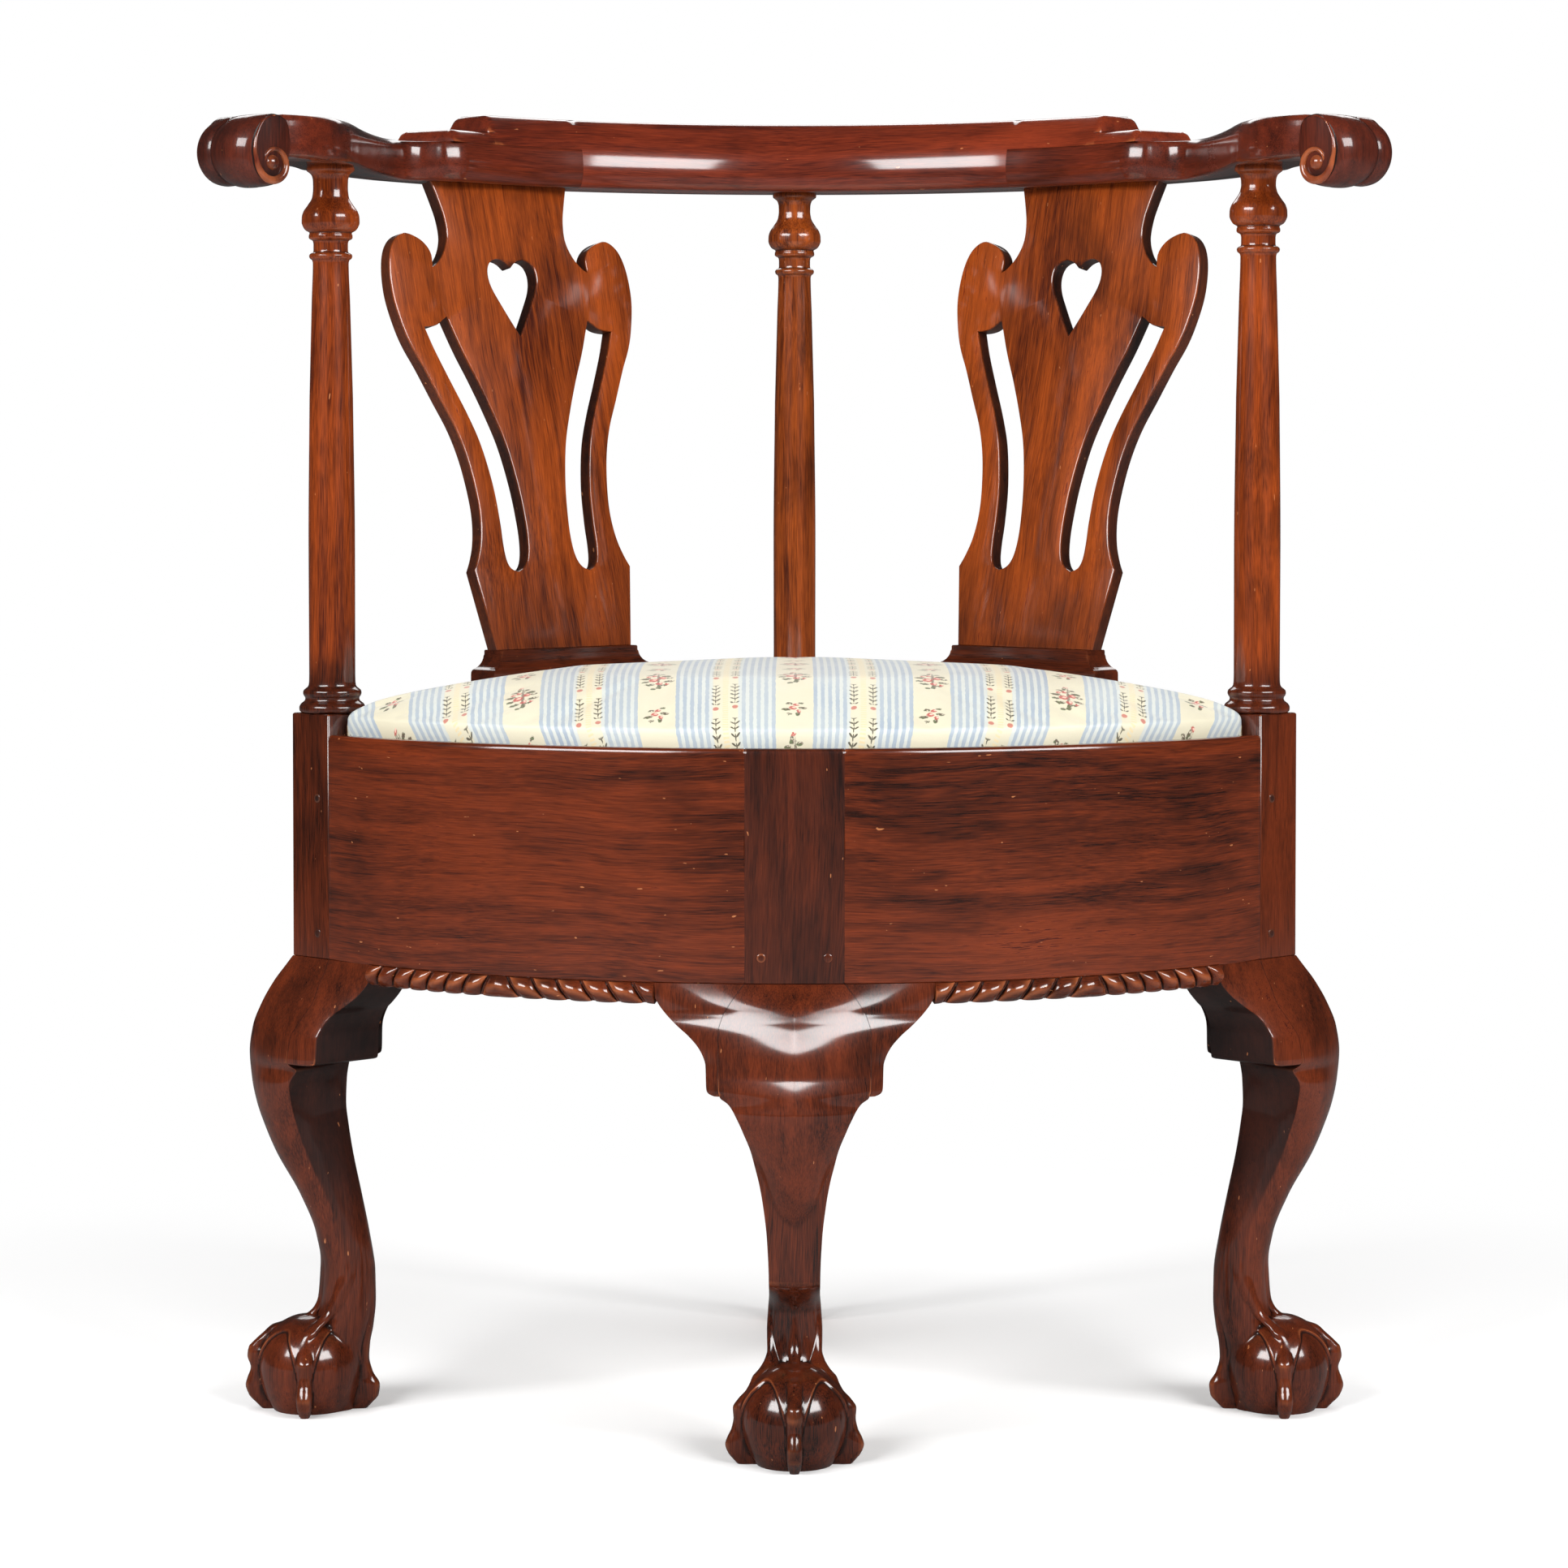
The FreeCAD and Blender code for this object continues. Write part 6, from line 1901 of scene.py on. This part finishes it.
        under, arm, wing, peak = PLAN.arm_under, PLAN.arm_top, PLAN.wing_top, PLAN.crest_top
        tier_rise = risen(self.upper_end, self.upper_run)
        wing_rise = risen(self.wing_end, self.wing_run)
        low = np.concatenate([np.linspace(under, under + 3, 7), np.linspace(under + 5, arm - 0.4, 14)])
        middle = np.array([arm, arm + 2, arm + 4, arm + 5.6, arm + 6.8, arm + 7.6, wing])
        high = np.concatenate([np.linspace(wing + 0.6, peak - 1.6, 12), [peak - 0.7, peak - 0.2, peak]])
        flat = arm + (wing - arm) * wing_rise
        top = flat + (peak - wing) * tier_rise
        arm_face, wing_face = eased(self.face, np.array([arm, wing]))
        soft = np.array([0.0, 0.0, 0.1, 0.5, 1.3, 2.4, 3.8]) * (1 - tier_rise)
        mould = eased(self.face, middle) + soft
        lift = np.clip(eased(self.face, high) - wing_face - 3.8, 0.0, None)
        tier = eased(self.face, high) * tier_rise + (1 - tier_rise) * (mould[-1] + 0.6 + lift)
        outer, down = PLAN.ring_outer, np.linspace(arm - 0.4, under, 14)
        if block:
            first, last = (eased(self.face, low), low), (eased(self.rear, down), down)
        else:
            first = np.linspace(PLAN.ring_inner + 20, arm_face + 0.8, len(low)), np.full(len(low), arm)
            last = np.linspace(outer - 2.2, PLAN.ring_inner + 22, 14), np.full(14, arm)
        rear = ((outer - 17.0, top), (outer - 9.6, top), (outer - 6.9, flat + (top - flat) * 0.9),
                (outer - 5.6, flat + (top - flat) * 0.66), (outer - 5.2, flat + 0.1), (outer - 4.0, flat),
                (outer - 2.6, arm + (flat - arm) * 0.92), (outer - 1.7, arm + (flat - arm) * 0.6),
                (outer - 1.5, arm))
        parts = (first, (mould, arm + (middle - arm) * wing_rise), (tier, flat + (high - wing) * tier_rise),
                 np.array(rear).T, last)
        radius, height = (np.concatenate(values) for values in zip(*parts))
        return radius, height

    def crest(self) -> Shell:
        """The crest rail in one sweep: the block between the arms, its wings and the set-back upper tier.

        Returns:
            The rail's shell.
        """
        def rounded(end: float, run: float, count: int) -> list[float]:
            """Angles over a tier's rounded end, closest where it is steepest."""
            return [end - run * (1 - math.cos(t)) for t in np.linspace(0.0, math.pi / 2, count)]

        steps = [*rounded(self.wing_end, self.wing_run, 9),
                 *np.linspace(self.wing_end - self.wing_run, self.upper_end, 12)[1:],
                 *rounded(self.upper_end, self.upper_run, 11)[1:],
                 *np.linspace(self.upper_end - self.upper_run, self.butt, 20)[1:]]
        plan = [(a, False) for a in steps] + [(a, True) for a in np.linspace(self.butt, 0.0, 34)]
        plan = [(-a, block) for a, block in plan] + [(a, block) for a, block in plan[-2::-1]]
        radius, height = (np.stack(part) for part in zip(*(self.section(abs(a), block) for a, block in plan)))
        angle = np.radians([a for a, _ in plan])[:, None]
        rows = np.stack([radius * np.sin(angle), radius * np.cos(angle), height], axis=-1)
        return Shell.of(rows, np.stack([angle * self.wood_radius + 0 * radius, height, radius], axis=-1))

    def build(self) -> None:
        """Makes both arms and the crest rail."""
        shop = self.shop
        arm = Shell()
        self.board(arm)
        self.hand(arm)
        shop.pair("arm", arm, shop.arm_wood)
        shop.walnut("crest_rail_moulded", self.crest(), shop.crest_wood, "crest_rail", "crest_dowels")


@dataclass(frozen=True)
class Seat:
    """The drop-in seat: its padded silk top, and the frame, webbing and canvas seen from below."""

    shop: Workshop
    middle_y: float = 45.0
    rim: float = 418.2
    under: float = 395.2
    crown_run: float = 200.0
    steps: Table = ((0.0, 0.0), (0.8, 5.0), (4.5, 10.6), (12.0, 17.4), (26.0, 24.4), (48.0, 30.6),
                    (78.0, 34.6), (112.0, 36.6), (150.0, 37.5), (200.0, 37.8))
    around: int = 288
    swell: float = 2.5
    frames: int = 20
    cap: float = 6.0

    def outline(self) -> np.ndarray:
        """The seat's plan: two bowed sides, two straight ones and a notch at each post, evenly stepped.

        Returns:
            The plan's points.
        """
        radius = PLAN.bow_radius - PLAN.lip - PLAN.seat_gap
        corner = PLAN.half + PLAN.notch_gap
        edge = PLAN.rear_lip + PLAN.seat_gap
        apart = PLAN.post_radius - corner * ROOT2 - PLAN.bow_centre
        meet = (-apart - math.sqrt(2 * radius ** 2 - apart ** 2)) / 2
        turn = np.linspace(0.0, math.asin(-meet / radius), 60)
        bow = np.column_stack([-radius * np.sin(turn), PLAN.bow_centre - radius * np.cos(turn)])
        far = PLAN.spacing - corner
        side = [beside(corner, corner, 0.0), beside(edge, corner + 3, 0.0), beside(edge, far, 0.0)]
        tip = beside(corner, far, 0.0)
        left = np.vstack([bow, [p[:2] for p in side], [[0.0, tip[1]]]])
        whole = np.vstack([left, left[-2:0:-1] * MIRROR[:2]])
        return even(np.vstack([whole, whole[:1]]), self.around + 1)[:-1]

    def rings(self) -> tuple[np.ndarray, int]:
        """The cover's rings from the middle of the top, over the edge, down and under to the hem.

        A ring of the top is the outline drawn towards the middle by a share of the crown's run, lifted by
        the crown's steps; the skirt drops straight and the hem turns in under the seat's frame. The last
        rings close the silk from inside, under the padding.

        Returns:
            Points by ring and place, and how many rings the top has.
        """
        line = self.outline()
        centre = np.array([0.0, self.middle_y])
        run, under, wide = self.crown_run, self.under, 30.0
        insets = np.concatenate([run - np.array([1.5, 6, 12, 20, 30, 40]), np.linspace(150.0, 20.0, 22),
                                 [16, 12, 9, 6.5, 4.5, 3, 1.8, 0.8, 0.2]])
        level = (PLAN.seat_top - self.swell - self.rim) / self.steps[-1][1]
        top = list(zip(insets, self.rim + eased(self.steps, insets) * level))
        skirt = [(0.0, h) for h in (self.rim - 1.0, 404.0, 399.0, under + 0.8)]
        hem = [(1.0, under), (10.0, under), (20.0, under), (20.3, under + 0.4), (10.0, under + 0.8),
               (1.6, under + 0.8), (0.8, under + 1.6), (0.8, 404.0), (0.8, 414.0), (1.4, 417.1),
               (20.0, 417.2), (60.0, 417.3), (120.0, 417.3)]
        rings = []
        for k, (draw, height) in enumerate(top + skirt + hem):
            towards = k < len(top) + len(skirt) or draw > wide
            ring = centre + (line - centre) * (1 - draw / run) if towards else inset(line, draw)
            rings.append(np.column_stack([ring, np.full(len(line), height)]))
        return np.stack(rings), len(top)

    def cushion(self) -> bpy.types.Object:
        """The padded top, swelled by a cloth simulation that holds its skirt, hem and underside.

        Returns:
            The finished cushion.
        """
        rows, top = self.rings()
        made = self.shop.piece("seat_cushion", Shell.of(rows), "slip_seat", self.shop.silk, "silk",
                               ["seat_cover", "seat_stuffing"], 60.0)
        run = np.cumsum(np.linalg.norm(np.diff(rows, axis=0, prepend=rows[:1]), axis=-1), axis=0)
        centre = np.array([0.0, self.middle_y])
        flat = np.linalg.norm(rows[..., :2] - centre, axis=-1) + 1e-6
        ratio = (run + flat[0]) / np.maximum(flat, flat[0])
        u = rows[..., 0] * (1 + 0.6 * (ratio - 1))
        v = self.middle_y + (rows[..., 1] - self.middle_y) * ratio
        spot = np.vstack([np.stack([u, v], axis=-1).reshape(-1, 2), [centre] * 2]) * MM
        corners = read(made.data.loops, "vertex_index", np.int32, 1)[:, 0]
        layer = made.data.uv_layers.new(name="cloth")
        layer.data.foreach_set("uv", spot[corners].astype(np.float32).ravel())
        self.simulate(made, top)
        detail = made.modifiers.new("fine", "SUBSURF")
        detail.levels = detail.render_levels = 1
        return made

    def simulate(self, made: bpy.types.Object, top: int) -> None:
        """Inflates the top and writes the result back, no point moving further than the cap.

        Args:
            made: The cushion.
            top: How many rings its top has.
        """
        mesh = made.data
        count = len(mesh.vertices)
        before = read(mesh.vertices, "co")
        held = made.vertex_groups.new(name="held")
        start = (top - 1) * self.around
        held.add(list(range(start, count - 2)) + [count - 1], 1.0, "REPLACE")
        cloth = made.modifiers.new("cloth", "CLOTH")
        cloth.settings.use_pressure = True
        cloth.settings.uniform_pressure_force = 3.0
        cloth.settings.effector_weights.gravity = 0.0
        cloth.settings.vertex_group_mass = "held"
        cloth.settings.tension_stiffness = cloth.settings.compression_stiffness = 25.0
        cloth.settings.quality = 6
        scene = bpy.context.scene
        for frame in range(1, self.frames + 1):
            scene.frame_set(frame)
        shaped = made.evaluated_get(bpy.context.evaluated_depsgraph_get())
        move = read(shaped.data.vertices, "co") - before
        made.modifiers.remove(cloth)
        scene.frame_set(1)
        size = np.linalg.norm(move, axis=1, keepdims=True)
        LOG.info("cushion moved by up to %.2f mm", float(size.max()) / MM)
        move *= np.minimum(1.0, self.cap * MM / np.maximum(size, 1e-9))
        mesh.vertices.foreach_set("co", (before + move).ravel())
        mesh.update()

    def build(self) -> None:
        """Makes the cushion, and gives the frame's own pieces under and behind it their finishes."""
        self.cushion()
        finishes = {"seat_rail": self.shop.secondary, "glue_block": self.shop.secondary,
                    "seat_webbing": self.shop.web, "seat_canvas": self.shop.canvas,
                    "rear_rail": self.shop.hidden_walnut}
        for name, node in self.shop.frame["nodes"].items():
            for start, finish in finishes.items():
                if name.startswith(start):
                    node.data.materials.clear()
                    node.data.materials.append(finish)


@dataclass(frozen=True)
class Studio:
    """The pale floor, soft lamps and camera."""

    lens: float = 102.86
    tilt: float = 2.0
    shift_x: float = -0.0067
    shift_y: float = -0.1105
    eye: Place = (0.0, -2691.4, 576.2)
    lamps: Sequence[tuple[str, Place, Place, tuple[float, float], float, bool]] = (
        ("soft_left", (-1.8, -1.88, 1.72), (0.0, 0.0, 0.45), (1.9, 0.95), 82.0, True),
        ("soft_right", (1.8, -1.88, 1.72), (0.0, 0.0, 0.45), (1.9, 0.95), 82.0, True),
        ("soft_top", (0.0, 0.3, 2.7), (0.0, 0.0, 0.3), (1.4, 1.0), 15.0, False),
        ("soft_back", (0.0, 2.4, 2.0), (0.0, 0.0, 0.5), (2.2, 0.8), 16.0, True))

    @staticmethod
    def floor() -> None:
        """A wide floor that takes the chair's shadow and turns to plain white away from it."""
        mesh = bpy.data.meshes.new("studio_floor")
        far = 30.0
        mesh.from_pydata([(-far, -far, 0), (far, -far, 0), (far, far, 0), (-far, far, 0)], [], [(0, 1, 2, 3)])
        floor = bpy.data.objects.new("studio_floor", mesh)
        bpy.context.scene.collection.objects.link(floor)
        bench = Bench(bpy.data.materials.new("floor_paper"))
        away = bench.node("ShaderNodeVectorMath", {"operation": "LENGTH"}, {0: bench.place()}, "Value")
        seen = bench.node("ShaderNodeLightPath", None, None, "Is Camera Ray")
        polish = bench.node("ShaderNodeLightPath", None, None, "Is Glossy Ray")
        white, lit, mirrored = ((grey, grey, grey, 1.0) for grey in (1.0, 0.93, 0.2))
        paper = bench.node("ShaderNodeBsdfDiffuse", None,
                           {"Color": bench.mix(seen, bench.mix(polish, lit, mirrored), white)})
        glow = bench.node("ShaderNodeEmission", None, {"Color": white, "Strength": 1.0})
        mixed = bench.node("ShaderNodeMixShader", None, {0: away.band(0.46, 0.92) * seen, 1: paper, 2: glow})
        mesh.materials.append(bench.closed(mixed))
        floor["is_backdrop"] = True

    @staticmethod
    def world() -> None:
        """White behind the chair, a dim studio in its polish, and soft light from all round."""
        bench = Bench(bpy.data.worlds.new("studio"))
        lit, mirrored, white = (
            bench.node("ShaderNodeBackground", None, {"Color": (grey, grey, grey, 1.0), "Strength": strength})
            for grey, strength in ((1.0, 0.24), (0.75, 0.04), (1.0, 1.0)))
        seen = bench.node("ShaderNodeLightPath", None, None, "Is Camera Ray")
        polish = bench.node("ShaderNodeLightPath", None, None, "Is Glossy Ray")
        around = bench.node("ShaderNodeMixShader", None, {0: polish, 1: lit, 2: mirrored})
        both = bench.node("ShaderNodeMixShader", None, {0: seen, 1: around, 2: white})
        bpy.context.scene.world = bench.closed(both, "ShaderNodeOutputWorld")

    @staticmethod
    def lamp(name: str, place: Sequence[float], aim: Sequence[float], size: tuple[float, float],
             power: float, mirrored: bool) -> None:
        """A flat soft lamp that looks from its place at its aim, and shows in polish if it is mirrored.

        Args:
            name: Its name.
            place: Where it stands.
            aim: Where it looks.
            size: Width and height.
            power: Its watts.
            mirrored: Whether polish shows it.
        """
        light = bpy.data.lights.new(name, "AREA")
        light.shape = "RECTANGLE"
        light.size, light.size_y = size
        light.energy = power
        made = bpy.data.objects.new(name, light)
        made.location = place
        made.visible_glossy = mirrored
        made.rotation_euler = (Vector(aim) - Vector(place)).to_track_quat("-Z", "Y").to_euler()
        bpy.context.scene.collection.objects.link(made)

    def build(self, shift: float) -> None:
        """Sets the floor, world, lamps, view and camera.

        Args:
            shift: How far the frame stands from the chair's own plan along Y.
        """
        self.floor()
        self.world()
        for lamp in self.lamps:
            self.lamp(*lamp)
        scene = bpy.context.scene
        scene.view_settings.view_transform = "Standard"
        camera = bpy.data.objects.new("camera", bpy.data.cameras.new("camera"))
        camera.data.lens = self.lens
        camera.data.sensor_width = 36.0
        camera.data.shift_x = self.shift_x
        camera.data.shift_y = self.shift_y
        x, y, z = self.eye
        camera.location = (x * MM, (y + shift) * MM, z * MM)
        camera.rotation_euler = (math.radians(90.0 - self.tilt), 0.0, 0.0)
        scene.collection.objects.link(camera)
        scene.camera = camera


def main() -> None:
    """Builds the chair's sub-assemblies in order."""
    logging.basicConfig(level=logging.INFO, format="%(name)s: %(message)s")
    shop = Workshop()
    Legs(shop).build()
    Rails(shop).build()
    Back(shop).build()
    Arms(shop).build()
    Seat(shop).build()
    Studio().build(shop.shift)


if __name__ == "__main__":
    main()
